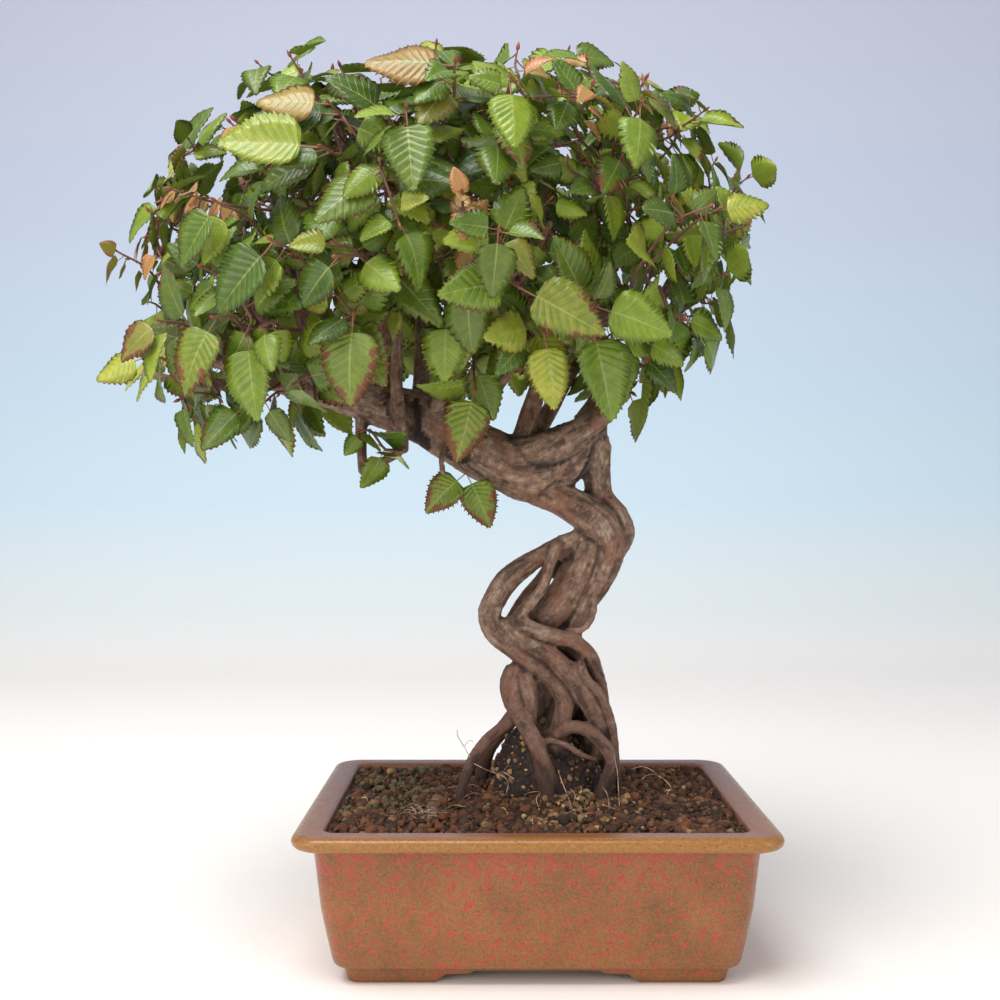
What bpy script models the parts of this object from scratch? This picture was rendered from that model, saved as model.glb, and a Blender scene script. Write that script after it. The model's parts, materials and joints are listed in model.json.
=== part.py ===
"""Korean hornbeam bonsai in its glazed rectangular pot.

Lengths in the tables are millimetres and MM turns them into metres. X runs to the right of the
front view, Y away from the viewer and Z up. The tree's tables start 2.4 mm left of the pot's
middle. At the end everything moves so that the origin is the middle of the plant's footprint.
"""
import math
import random

import bmesh
import bpy
import numpy as np
from mathutils import Matrix, Vector
from mathutils.bvhtree import BVHTree

MM = 0.001
GAP = 0.3
WELD = 0.000002
NEARLY_FLAT = 3.0
THIN_SHARES = (0.78, 0.88)
NEAR_SHOOT = 1.7

# Pot
POT_WIDTH = 209.5
POT_DEPTH = 163.0
POT_HEIGHT = 68.0
POT_PLACE = 2.4
RIM_TOP_WIDTH = 13.0
LIP_OVERHANG = 8.0
LIP_THICKNESS = 7.0
BODY_TAPER = 7.5
FOOT_HEIGHT = 7.6
FOOT_SET_BACK = 4.5
FOOT_BAND = 11.0
FRONT_NOTCH = 45.0
SIDE_NOTCH = 27.0
UNDERSIDE = 7.0
FLOOR_TOP = 14.0
RIM_CORNER = 12.0
CORNER_STEPS = 3
DRAIN_OFFSET = 42.0
DRAIN_RADIUS = 8.0

# Drain mesh
MESH_SIDE = 24.0
MESH_THICK = 0.9
MESH_HOLE = 5.6
MESH_PITCH = 7.2

# Soil
SOIL_EDGE = 65.4
MOUND_HEIGHT = 7.4
MOUND_REACH = 34.0
BURIED_BELOW = 64.0
GRAIN = 9.0
GRAIN_RELIEF = 1.5

# Canopy: what the front view shows is told as an outline in polar steps round a centre
CANOPY_CENTRE = Vector((-46.0, 0.0, 318.0))
CANOPY_DEPTH = 128.0
CANOPY_OUTLINE = (
    (-40, 113), (-25, 124), (-4, 155), (12, 166), (30, 151), (42, 140), (61, 119), (87, 116),
    (111, 120), (134, 127), (163, 141), (184, 155), (197, 165), (216, 140), (239, 98), (270, 70),
    (295, 84),
)
LOWEST_DIRECTION = -0.42
EYE = Vector((-13.6, -589.0, 207.0))
LATTICE = 50
SPREAD_REACH = (0.87, 0.96)
CLEAR_OF_FRONT = 30.0
PLACES_TRIED = 110
MOST_SHOOTS = 55
CLOSEST_STARTS = 4.5
ROOMY = 12.0
SHORT_SHOOT = 24.0
SHARP_COST = 40
CROWD_COST = 2
SHORT_COST = 6
SEED = 7

# Leaves and shoots
LEAF_BUDGET = 272
FRONT_LEAVES_EACH = 5
YOUNG_LEAVES_EACH = 5
MOST_LEAVES = 7
LEAF_SPACING = 8.0
YOUNG_SPACING = 4.4
LEAF_LENGTH = (21.0, 29.0)
LONGEST_LEAF = 34.0
LONG_LEAF = 24.0
YOUNG_LENGTH = (9.0, 14.0)
TWIG_RADIUS = 0.95
TWIG_TAPER = (1.15, 1.05, 1.0, 0.85)
YOUNG_TWIG = 0.85
THICKEST_WITH_SHOOTS = 4.3
RIB_THICKNESS = 1.2
RIB_MIDDLE = 0.48
PETIOLE = 0.26
LIE_FLAT = 0.8
END_DROOP = 0.35
TOOTH_OUT = 1.09
TOOTH_IN = 0.86
LEAF_OFF_WOOD = 1.3
TWIG_OFF_WOOD = 2.4
LEAVES_ABOVE = 190.0
TRIES = 14
CELL = 1.8

# Blade shapes: half width, droop towards the tip and fold along the rib, as shares of length
BLADES = ((0.40, 0.16, 0.22), (0.37, 0.06, 0.30), (0.43, 0.26, 0.10), (0.39, 0.12, -0.12))

# The picture's scale and middle at the trunk, for places read off the front view
PICTURE_MIDDLE = (528.0, 505.0)
PICTURE_SCALE = 2.07
EYE_HEIGHT = 207.0
SIGHT_START = 0.74
SIGHT_STEP = 0.002
SIGHT_STEPS = 140

# Leaves that mark the front view: the pixel where the blade starts and the pixel of its tip
FRONT_LEAVES = (
    ((408, 125), (415, 189)), ((384, 179), (401, 245)), ((512, 92), (519, 141)),
    ((497, 243), (490, 299)), ((537, 298), (607, 336)), ((612, 312), (676, 334)),
    ((641, 116), (640, 162)), ((472, 404), (459, 466)), ((249, 353), (259, 425)),
    ((251, 338), (211, 378)), ((207, 333), (177, 393)), ((328, 268), (297, 309)),
    ((259, 255), (212, 309)), ((352, 333), (346, 406)), ((549, 350), (561, 411)),
    ((598, 342), (619, 431)), ((729, 208), (772, 202)), ((133, 361), (92, 379)),
    ((299, 146), (214, 141)), ((313, 101), (252, 93)), ((436, 62), (363, 57)),
    ((207, 215), (174, 266)), ((712, 222), (724, 277)), ((744, 240), (741, 291)),
    ((450, 462), (428, 493)), ((655, 345), (690, 362)), ((182, 410), (190, 449)),
    ((235, 415), (199, 452)), ((268, 412), (286, 445)), ((158, 395), (134, 423)),
    ((356, 437), (341, 456)), ((150, 328), (113, 356)), ((300, 391), (318, 416)),
)

# Young copper shoots of the front view, by the pixel of their tips
FRONT_SHOOTS = ((462, 193), (236, 121), (592, 86), (645, 80), (172, 190), (118, 252))

# More young shoots behind, as directions from the canopy's centre
BACK_SHOOTS = ((0.4, 0.5, 0.75), (-0.6, 0.55, 0.5))

# Wood: each row is x, y, z and radius along one strand
TRUNK = (
    (31, 2, 243, 9), (22, 2, 235, 12.5), (12, 1, 228.5, 15), (2, 0, 224.5, 15.8), (-9, 0, 226, 15),
    (-21, 0, 231.5, 14), (-34, 0, 239.5, 13), (-48, 0, 247, 12), (-64, 0, 253, 11.2),
    (-80, 1, 258, 10.3), (-96, 2, 262.5, 9.2), (-111, 3, 266, 7.8), (-126, 4, 269.5, 6),
    (-143, 6, 274, 4.4), (-160, 8, 281, 3), (-173, 8, 290, 2),
)
ROLLED_FOLD = (
    (-6, -7, 230, 5), (9, -9, 235, 7), (22, -9, 241, 6.6), (32, -6, 247.5, 5.8), (38, 0, 251, 5),
)
ROOT_STRANDS = {
    "right_edge": (
        (34, 3, 246, 4), (36, 1, 234, 3.4), (37, 0, 221.5, 3.2), (38, 1, 212, 3.4),
        (43.5, 2, 203, 4.8), (47, 3, 193, 4.8), (43, 4, 184, 4.2), (36.5, 5, 174.5, 4),
        (31, 5, 166, 3.6),
    ),
    "neck": (
        (3, -1, 213.5, 6.5), (14.5, -1, 210, 8), (24, -2, 205, 9), (33, -2, 198.5, 9.2),
        (38.3, -2, 190, 8.2), (38.3, -2, 182, 7.5), (35.5, -2, 174, 6.6), (30.7, -1, 165.5, 6),
        (26.5, 0, 157.5, 5), (23, 2, 148, 4.4), (21, 6, 136, 4.6),
    ),
    "neck_back": ((33, 3, 236, 7.5), (33.5, 4, 221, 6.8), (35, 5, 208, 7), (38, 5, 194, 7)),
    "core": (
        (35, 6, 195, 7), (29, 8, 173, 7.5), (19, 8, 155, 8), (12, 7, 138, 8.5), (15, 7, 118, 10),
        (13, 6, 98, 13),
    ),
    "flat_mass": (
        (29, 1, 188, 8), (24, 0, 175.5, 8.6), (18, 0, 164.5, 8.4), (12, 0, 156, 7.4),
        (5, 0, 150, 6),
    ),
    "left_loop": (
        (31, 0, 193, 5), (22.5, -1, 189, 5.4), (13.5, -3, 185.7, 5.2), (3.5, -4, 181, 5),
        (-4.5, -4, 176, 5.7), (-10.8, -4, 170.5, 6.2), (-15.3, -4, 163.5, 5.8),
        (-18.6, -5, 155, 5.4), (-16.3, -7, 147, 5.2), (-6.5, -9, 138.8, 5.2),
        (4.5, -9, 130.8, 5), (12.5, -8, 122.8, 4.8), (17, -8, 113.5, 4.5), (15.3, -8, 103.5, 4.3),
        (12, -6, 94, 4),
    ),
    "loop_inner": (
        (15, 6, 184, 4), (8, 8, 172, 3.6), (-2, 8, 160, 3.6), (-8, 5, 150, 4),
    ),
    "front_thin": (
        (13.5, -8, 189, 3), (10, -12, 179.5, 3), (7, -12.5, 169, 2.8), (1, -11, 161, 3),
        (-4.5, -10, 154.5, 3.4), (-7, -8, 148, 4),
    ),
    "second_strand": (
        (-10.5, -6, 152, 4.4), (-7, -9, 145.5, 4.5), (0, -11, 141, 4.5), (9, -12, 136.5, 4.7),
        (17, -12, 130, 4.8), (24, -11, 121.5, 4.8), (29, -10, 112.5, 4.8), (33, -8, 104, 4.6),
        (34.5, -6, 95, 4.3), (34, -4, 86, 4),
    ),
    "third_strand": (
        (-5, -10, 151.5, 3.4), (4.5, -13, 148, 3.6), (15.5, -13, 144.5, 3.5),
        (24, -11, 141, 3.4), (29.5, -8, 135.5, 3.4), (32.5, -5, 128, 3.1), (35, -2, 120, 3),
        (36.3, 1, 110, 3), (34, 3, 99, 3),
    ),
    "right_bulge": (
        (14, 2, 142, 5), (24, 1, 137, 5), (29.3, 1, 128, 5), (32.3, 2, 117, 5), (33, 3, 105, 5),
        (30.6, 4, 91.5, 5.1),
    ),
    "right_thin": (
        (24, -14, 134, 2), (27, -15, 126, 2), (33.5, -14, 119, 2), (37, -12, 111.5, 2),
        (40, -10, 102, 1.9), (41.5, -9, 90, 1.7), (42.5, -9, 78, 1.6), (43, -9, 61, 1.5),
    ),
    "right_small_loop": (
        (31, -6, 163, 1.9), (30.5, -9, 155, 1.8), (26, -10, 148.5, 1.8), (18, -11, 147.5, 1.8),
    ),
    "left_knob": (
        (-5.2, -6, 129, 5.6), (-8, -7, 121, 6.5), (-6.6, -9, 113.5, 5.8), (-3, -12, 105.5, 4.8),
        (2.5, -15, 96.5, 4.4), (6, -17, 88, 4.3), (8.5, -18, 79, 4.1), (10, -18, 59, 3.9),
    ),
    "knob_front": ((-2, -9, 126, 4.6), (0, -10, 119, 4.6), (1, -10, 111, 4.2), (1, -7, 103, 3.2)),
    "left_leg": (
        (-5, -6, 107, 3.6), (-12, -5, 101, 3.3), (-19, -5, 95.5, 3.1), (-25, -6, 88, 2.9),
        (-29, -7, 80.5, 2.7), (-32, -8, 71, 2.5), (-34, -8, 59, 2.3),
    ),
    "right_arch": (
        (13, -9, 97, 3.2), (19, -13, 102, 3.3), (26, -15, 101.5, 3.4), (33, -15, 96.5, 3.5),
        (38, -15, 90, 3.5), (39, -15, 83, 3.6), (36, -15, 76, 3.8), (31, -15, 59, 4),
    ),
    "thin_root": ((9, -15, 97, 1.8), (18, -19, 94.5, 1.8), (24, -19, 90.5, 1.7), (32, -14, 87, 1.5)),
    "back_twist": (
        (32, 10, 190, 5), (18, 15, 168, 5), (0, 14, 150, 5), (-2, 12, 132, 5), (10, 13, 114, 5),
        (24, 14, 98, 5),
    ),
    "back_left_leg": (
        (0, 10, 112, 4.6), (-12, 18, 96, 4.2), (-20, 26, 82, 3.8), (-24, 31, 60, 3.4),
    ),
    "back_right_leg": (
        (24, 10, 116, 4.8), (32, 20, 98, 4.4), (38, 28, 83, 4), (41, 33, 60, 3.6),
    ),
}
BURIED_ROOTS = (
    "right_thin", "left_knob", "left_leg", "right_arch", "back_left_leg", "back_right_leg",
)
ROOT_CROWN = ((57, 25, 21), (72, 27, 23), (84, 24, 20), (95, 18, 15), (103, 11, 9))
ROOT_CROWN_CENTRE = (9.0, 4.0)

LIMBS = {
    "left_low": (
        (-116, -2, 266, 4), (-136, -20, 263, 3.2), (-156, -34, 263, 2.5), (-174, -42, 266, 1.8),
    ),
    "left_front": (
        (-94, -4, 262, 4.6), (-106, -32, 273, 3.6), (-116, -58, 286, 2.8), (-124, -80, 302, 2),
    ),
    "left_back": (
        (-98, 6, 264, 4.6), (-112, 36, 279, 3.6), (-124, 62, 293, 2.8), (-132, 82, 308, 2),
    ),
    "upper_left": (
        (-100, 0, 264, 5), (-108, 4, 292, 4), (-118, 8, 322, 3.2), (-131, 6, 350, 2.4),
        (-140, 4, 366, 1.8),
    ),
    "apex": (
        (-72, 2, 256, 6), (-72, 6, 292, 4.6), (-67, 8, 328, 3.6), (-61, 4, 364, 2.6),
        (-57, 0, 394, 1.8),
    ),
    "apex_front": (
        (-70, 6, 288, 4), (-74, -22, 322, 3.1), (-80, -46, 352, 2.4), (-84, -60, 378, 1.8),
    ),
    "back": ((-52, 6, 250, 5), (-54, 38, 280, 4), (-56, 66, 308, 3), (-58, 86, 336, 2.1)),
    "front_middle": (
        (-59, -11, 232, 2.6), (-60, -13, 246, 3.3), (-62, -15, 263, 3.1), (-61, -24, 290, 2.6),
        (-56, -46, 318, 2.2), (-50, -66, 342, 1.8),
    ),
    "front_right": (
        (-46, -6, 250, 3.8), (-34, -24, 270, 3.1), (-18, -43, 289, 2.6), (-2, -62, 308, 2.1),
        (8, -76, 326, 1.7),
    ),
    "right_low": (
        (-28, -8, 240, 3.6), (-10, -28, 267, 2.9), (14, -40, 280, 2.4), (38, -45, 292, 2),
        (58, -46, 304, 1.6),
    ),
    "upper_right": (
        (-4, 2, 234, 5.6), (6, 6, 268, 4.4), (18, 7, 304, 3.5), (30, 3, 340, 2.7),
        (36, 0, 374, 1.9),
    ),
    "right": (
        (20, 6, 238, 4.8), (40, 12, 268, 3.8), (59, 12, 298, 3), (75, 8, 326, 2.4),
        (84, 3, 350, 1.8),
    ),
    "back_right": ((2, 8, 238, 4.8), (19, 37, 268, 3.7), (35, 65, 296, 2.8), (44, 85, 320, 2)),
    "back_top": ((12, 8, 286, 3.6), (-2, 34, 320, 3), (-12, 56, 352, 2.3), (-18, 66, 376, 1.8)),
    "right_front": ((47, 12, 280, 3.2), (60, -18, 300, 2.6), (70, -44, 322, 1.9)),
    "hanging_twig": ((-40, -9, 236, 2), (-41, -17, 228, 1.7), (-40, -22, 221, 1.4)),
}
STUBS = {
    "cut_upright": ((-101, -20, 268, 3), (-99, -26, 292, 2.8), (-102, -27, 316, 2.6)),
    "cut_under": ((-80, -2, 250, 3.2), (-80, -4, 236, 2.8), (-79, -5, 222, 2.5)),
    "cut_slant": ((-79, -5, 224, 2.4), (-70, -6, 227.5, 2.4), (-61, -8, 232, 2.4)),
    "cut_left": ((-112, -8, 268, 3), (-118, -14, 280, 2.6), (-124, -18, 288, 2.4)),
}


def clear_scene():
    for thing in list(bpy.data.objects):
        bpy.data.objects.remove(thing, do_unlink=True)


def new_collection(name):
    made = bpy.data.collections.new(name)
    bpy.context.scene.collection.children.link(made)
    return made


def material(name, colour, roughness, metallic=0.0):
    mat = bpy.data.materials.new(name)
    mat.use_nodes = True
    shader = mat.node_tree.nodes["Principled BSDF"]
    shader.inputs["Base Color"].default_value = (*colour, 1.0)
    shader.inputs["Roughness"].default_value = roughness
    shader.inputs["Metallic"].default_value = metallic
    mat.diffuse_color = (*colour, 1.0)
    return mat


def wear(thing, mat):
    thing.data.materials.clear()
    thing.data.materials.append(mat)


def object_from(mesh_builder, name, home):
    """An object from a bmesh, which is freed."""
    mesh = bpy.data.meshes.new(name)
    mesh_builder.to_mesh(mesh)
    mesh_builder.free()
    thing = bpy.data.objects.new(name, mesh)
    home.objects.link(thing)
    return thing


def frozen(thing):
    """The object's mesh as its modifiers or its curve leave it."""
    evaluated = thing.evaluated_get(bpy.context.evaluated_depsgraph_get())
    return bpy.data.meshes.new_from_object(evaluated)


def apply_modifiers(thing):
    mesh = frozen(thing)
    thing.modifiers.clear()
    thing.data = mesh


def cut(thing, cutter, operation="DIFFERENCE", solver="EXACT"):
    boolean = thing.modifiers.new("cut", "BOOLEAN")
    boolean.operation = operation
    boolean.solver = solver
    boolean.object = cutter
    apply_modifiers(thing)
    bpy.data.objects.remove(cutter, do_unlink=True)


def keep_main_body(thing, flatten=0.0):
    """Drops loose scraps and the skins of sealed hollows: only the largest shell stays.

    Faces that meet at less than the angle given, in degrees, become one before they are split."""
    shape = bmesh.new()
    shape.from_mesh(thing.data)
    bmesh.ops.remove_doubles(shape, verts=shape.verts, dist=WELD)
    bmesh.ops.dissolve_degenerate(shape, edges=shape.edges, dist=WELD)
    shape.faces.ensure_lookup_table()
    seen = set()
    shells = []
    for first in shape.faces:
        if first in seen:
            continue
        shell = [first]
        seen.add(first)
        for face in shell:
            for edge in face.edges:
                for other in edge.link_faces:
                    if other not in seen:
                        seen.add(other)
                        shell.append(other)
        shells.append(shell)
    shells.sort(key=shell_size)
    for shell in shells[:-1]:
        bmesh.ops.delete(shape, geom=shell, context="FACES")
    loose = [vert for vert in shape.verts if not vert.link_faces]
    bmesh.ops.delete(shape, geom=loose, context="VERTS")
    if flatten:
        bmesh.ops.dissolve_limit(
            shape, angle_limit=math.radians(flatten), verts=shape.verts, edges=shape.edges,
        )
        bmesh.ops.triangulate(shape, faces=shape.faces)
    shape.to_mesh(thing.data)
    shape.free()


def shell_size(shell):
    return sum(face.calc_area() for face in shell)


def union(name, pieces, home, solver="MANIFOLD", flatten=0.0):
    """One solid from several: the first takes a Boolean union with a collection of the rest."""
    rest = bpy.data.collections.new(name + " rest")
    bpy.context.scene.collection.children.link(rest)
    for piece in pieces[1:]:
        rest.objects.link(piece)
    whole = bpy.data.objects.new(name, pieces[0].data)
    home.objects.link(whole)
    boolean = whole.modifiers.new("union", "BOOLEAN")
    boolean.operation = "UNION"
    boolean.operand_type = "COLLECTION"
    boolean.collection = rest
    boolean.solver = solver
    apply_modifiers(whole)
    for piece in list(pieces):
        bpy.data.objects.remove(piece, do_unlink=True)
    bpy.data.collections.remove(rest)
    whole.name = name
    keep_main_body(whole, flatten)
    return whole


def tube(name, points, sides, home, extra=0.0):
    """A round tapered strand through points of x, y, z and radius, as a closed mesh."""
    curve = bpy.data.curves.new(name, "CURVE")
    curve.dimensions = "3D"
    curve.bevel_depth = MM
    curve.bevel_resolution = (sides - 4) // 2
    curve.use_fill_caps = True
    spline = curve.splines.new("POLY")
    spline.points.add(len(points) - 1)
    for spot, (x, y, z, radius) in zip(spline.points, points):
        spot.co = (x * MM, y * MM, z * MM, 1.0)
        spot.radius = radius + extra
    guide = bpy.data.objects.new(name, curve)
    home.objects.link(guide)
    bpy.context.view_layer.update()
    mesh = frozen(guide)
    bpy.data.objects.remove(guide, do_unlink=True)
    shape = bmesh.new()
    shape.from_mesh(mesh)
    bmesh.ops.remove_doubles(shape, verts=shape.verts, dist=0.00001)
    bmesh.ops.recalc_face_normals(shape, faces=shape.faces)
    bmesh.ops.triangulate(shape, faces=shape.faces, quad_method="FIXED")
    return object_from(shape, name, home)


def rounded_ring(half_x, half_y, corner, steps=CORNER_STEPS):
    """Points round a rectangle with round corners, anticlockwise from above."""
    spots = []
    for turn, (sx, sy) in enumerate(((1, 1), (-1, 1), (-1, -1), (1, -1))):
        for step in range(steps + 1):
            angle = (turn + step / steps) * math.pi / 2
            x = sx * (half_x - corner) + corner * math.cos(angle)
            y = sy * (half_y - corner) + corner * math.sin(angle)
            spots.append((x, y))
    return spots


def lofted(name, levels, home):
    """A closed solid through rounded rectangles, each level half width, half depth, height, corner."""
    shape = bmesh.new()
    rings = []
    for half_x, half_y, height, corner in levels:
        spots = rounded_ring(half_x, half_y, corner)
        verts = [shape.verts.new((x * MM, y * MM, height * MM)) for x, y in spots]
        edges = [shape.edges.new((a, b)) for a, b in zip(verts, verts[1:] + verts[:1])]
        rings.append(edges)
    for low, high in zip(rings, rings[1:]):
        bmesh.ops.bridge_loops(shape, edges=low + high)
    bmesh.ops.edgeloop_fill(shape, edges=rings[0])
    bmesh.ops.edgeloop_fill(shape, edges=rings[-1])
    bmesh.ops.recalc_face_normals(shape, faces=shape.faces)
    return object_from(shape, name, home)


def box(name, size, centre, home):
    shape = bmesh.new()
    bmesh.ops.create_cube(shape, size=1.0)
    bmesh.ops.scale(shape, vec=[side * MM for side in size], verts=shape.verts)
    bmesh.ops.translate(shape, vec=[place * MM for place in centre], verts=shape.verts)
    return object_from(shape, name, home)


def cylinder(name, radius, height, centre, home, sides=16):
    shape = bmesh.new()
    bmesh.ops.create_cone(
        shape, cap_ends=True, segments=sides, radius1=radius * MM, radius2=radius * MM,
        depth=height * MM,
    )
    bmesh.ops.translate(shape, vec=[place * MM for place in centre], verts=shape.verts)
    return object_from(shape, name, home)


def prism(name, outline, half_length, along_y, home):
    """An outline of x and z drawn out to both sides along Y, or of y and z along X."""
    shape = bmesh.new()
    spots = []
    for across, height in outline:
        place = (across, -half_length, height) if along_y else (-half_length, across, height)
        spots.append(shape.verts.new([value * MM for value in place]))
    face = shape.faces.new(spots)
    reach = (0, 2 * half_length * MM, 0) if along_y else (2 * half_length * MM, 0, 0)
    drawn = bmesh.ops.extrude_face_region(shape, geom=[face])
    moved = [item for item in drawn["geom"] if isinstance(item, bmesh.types.BMVert)]
    bmesh.ops.translate(shape, vec=reach, verts=moved)
    bmesh.ops.recalc_face_normals(shape, faces=shape.faces)
    return object_from(shape, name, home)


def inner_half(height):
    """Half width and half depth of the pot's inside at a height."""
    slope = (POT_HEIGHT - height) / (POT_HEIGHT - FLOOR_TOP)
    shrink = RIM_TOP_WIDTH + BODY_TAPER * slope
    return POT_WIDTH / 2 - shrink, POT_DEPTH / 2 - shrink


def make_pot(home):
    """A tapered body with a rolled lip, a hollow inside, drain holes and four feet with notches."""
    half_x = POT_WIDTH / 2
    half_y = POT_DEPTH / 2
    under_lip = POT_HEIGHT - LIP_THICKNESS
    outside = []
    for inset, height, corner in (
        (LIP_OVERHANG + BODY_TAPER + 2.6, FOOT_HEIGHT, 8.0),
        (LIP_OVERHANG + BODY_TAPER + 0.8, FOOT_HEIGHT + 0.8, 9.5),
        (LIP_OVERHANG + BODY_TAPER, FOOT_HEIGHT + 3.0, 10.0),
        (LIP_OVERHANG + BODY_TAPER * 0.42, 34.0, 10.5),
        (LIP_OVERHANG + 0.9, under_lip - 5.0, 11.0),
        (LIP_OVERHANG, under_lip, 11.0),
        (2.6, under_lip + 0.3, RIM_CORNER),
        (0.6, under_lip + 1.7, RIM_CORNER),
        (0.0, under_lip + 3.8, RIM_CORNER),
        (1.0, POT_HEIGHT - 1.4, RIM_CORNER),
        (3.8, POT_HEIGHT, RIM_CORNER - 1.0),
    ):
        outside.append((half_x - inset, half_y - inset, height, corner))
    pot = lofted("pot", outside, home)

    inside = []
    for height, corner in ((FLOOR_TOP, 7.0), (POT_HEIGHT - 1.2, 7.0)):
        inside.append((*inner_half(height), height, corner))
    wide_x, wide_y = inner_half(POT_HEIGHT)
    inside.append((wide_x + 1.0, wide_y + 1.0, POT_HEIGHT + 0.2, 7.6))
    cut(pot, lofted("inside", inside, home))

    band_x = half_x - LIP_OVERHANG - BODY_TAPER - FOOT_SET_BACK
    band_y = half_y - LIP_OVERHANG - BODY_TAPER - FOOT_SET_BACK
    band = lofted("feet", (
        (band_x - 1.8, band_y - 1.8, 0.0, 5.0),
        (band_x, band_y, FOOT_HEIGHT + 1.0, 6.0),
    ), home)
    hollow = (2 * (band_x - FOOT_BAND), 2 * (band_y - FOOT_BAND), 2 * UNDERSIDE)
    cut(band, box("under", hollow, (0, 0, 0), home))
    cut(band, prism("front notch", foot_notch(FRONT_NOTCH), POT_WIDTH, True, home))
    cut(band, prism("side notch", foot_notch(SIDE_NOTCH), POT_WIDTH, False, home))
    pot = union("pot", [pot, band], home, "EXACT")
    for side in (-1, 1):
        cut(pot, cylinder("drain", DRAIN_RADIUS, 40, (side * DRAIN_OFFSET, 0, 10), home))
    keep_main_body(pot)
    return pot


def foot_notch(half_width):
    """The stepped opening between two feet, as across and height."""
    half = [(half_width, -2.0), (half_width - 0.6, 0.0), (half_width - 5.5, 3.3),
            (half_width - 15.5, 3.6), (half_width - 18.0, 4.8)]
    return half + [(-across, height) for across, height in reversed(half)]


def make_drain_mesh(name, side, home):
    """A square of plastic mesh that keeps the soil off a drain hole."""
    level = FLOOR_TOP + GAP + MESH_THICK / 2
    mesh = box(name, (MESH_SIDE, MESH_SIDE, MESH_THICK), (side * DRAIN_OFFSET, 0, level), home)
    holes = []
    for column in (-0.5, 0.5):
        for row in (-0.5, 0.5):
            centre = (side * DRAIN_OFFSET + column * MESH_PITCH, row * MESH_PITCH, level)
            holes.append(box("hole", (MESH_HOLE, MESH_HOLE, 4 * MESH_THICK), centre, home))
    for hole in holes:
        cut(mesh, hole)
    return mesh


def soil_height(x, y, draw):
    """The soil's surface: level by the wall, a low mound at the roots, and coarse grains."""
    from_roots = math.hypot(x - ROOT_CROWN_CENTRE[0], y - ROOT_CROWN_CENTRE[1])
    mound = MOUND_HEIGHT * math.exp(-((from_roots / MOUND_REACH) ** 2))
    return SOIL_EDGE + mound + draw.uniform(-GRAIN_RELIEF, GRAIN_RELIEF)


def make_soil(home):
    """Packed soil under a surface of grains, drawn larger than life."""
    draw = random.Random(11)
    columns = math.ceil(POT_WIDTH / GRAIN)
    rows = math.ceil(POT_DEPTH / (GRAIN * 0.87))
    shape = bmesh.new()
    made = bmesh.ops.create_grid(
        shape, x_segments=columns, y_segments=rows, size=1.0,
        matrix=Matrix.Diagonal((POT_WIDTH / 2, POT_DEPTH / 2, 1.0, 1.0)),
    )
    for spot in made["verts"]:
        row = round((spot.co.y / (POT_DEPTH / 2) + 1) * rows / 2)
        spot.co.x += GRAIN * 0.25 * (1 if row % 2 else -1) + draw.uniform(-0.9, 0.9)
        spot.co.y += draw.uniform(-0.9, 0.9)
        spot.co.z = soil_height(spot.co.x, spot.co.y, draw)
    bmesh.ops.triangulate(shape, faces=shape.faces)
    top = list(shape.faces)
    drawn = bmesh.ops.extrude_face_region(shape, geom=top, use_keep_orig=True)
    for item in drawn["geom"]:
        if isinstance(item, bmesh.types.BMVert):
            item.co.z = 2.0
    low = [face for face in shape.faces if all(spot.co.z < 3.0 for spot in face.verts)]
    bmesh.ops.dissolve_faces(shape, faces=low)
    bmesh.ops.scale(shape, vec=(MM, MM, MM), verts=shape.verts)
    bmesh.ops.recalc_face_normals(shape, faces=shape.faces)
    soil = object_from(shape, "soil", home)
    levels = []
    for height in (FLOOR_TOP + GAP, POT_HEIGHT - 1.2, POT_HEIGHT + 20):
        wide_x, wide_y = inner_half(min(height, POT_HEIGHT - 1.2))
        levels.append((wide_x - GAP, wide_y - GAP, height, 6.7))
    cut(soil, lofted("soil limit", levels, home), "INTERSECT")
    for side in (-1, 1):
        clear = MESH_SIDE + 2 * GAP
        centre = (side * DRAIN_OFFSET, 0, FLOOR_TOP)
        cut(soil, box("mesh bed", (clear, clear, 2 * (MESH_THICK + 2 * GAP)), centre, home))
    return soil


def root_crown(extra, home):
    """The dense knot of roots and soil that the trunk stands on."""
    shape = bmesh.new()
    draw = random.Random(5)
    sides = 12
    rings = []
    for height, wide, deep in ROOT_CROWN:
        ring = []
        for turn in range(sides):
            angle = 2 * math.pi * turn / sides
            bump = 1 + draw.uniform(-0.07, 0.07)
            x = ROOT_CROWN_CENTRE[0] + (wide * bump + extra) * math.cos(angle)
            y = ROOT_CROWN_CENTRE[1] + (deep * bump + extra) * math.sin(angle)
            ring.append(shape.verts.new((x * MM, y * MM, height * MM)))
        rings.append([shape.edges.new((a, b)) for a, b in zip(ring, ring[1:] + ring[:1])])
    for low, high in zip(rings, rings[1:]):
        bmesh.ops.bridge_loops(shape, edges=low + high)
    bmesh.ops.edgeloop_fill(shape, edges=rings[0])
    bmesh.ops.edgeloop_fill(shape, edges=rings[-1])
    bmesh.ops.recalc_face_normals(shape, faces=shape.faces)
    bmesh.ops.triangulate(shape, faces=shape.faces, quad_method="FIXED")
    return object_from(shape, "root crown", home)


def root_tube(name, home, extra=0.0):
    points = ROOT_STRANDS[name]
    thick = max(point[3] for point in points)
    return tube(name, points, 8 if thick > 6 else 6, home, extra)


def make_wood(home):
    """Roots, trunk and limbs, grown together as one solid."""
    pieces = [
        tube("trunk", TRUNK, 10, home),
        tube("fold", ROLLED_FOLD, 8, home),
        root_crown(0.0, home),
    ]
    for name in ROOT_STRANDS:
        pieces.append(root_tube(name, home))
    for name, points in {**LIMBS, **STUBS}.items():
        pieces.append(tube(name, points, 6, home))
    return union("roots_trunk_and_limbs", pieces, home, "EXACT", NEARLY_FLAT)


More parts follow.
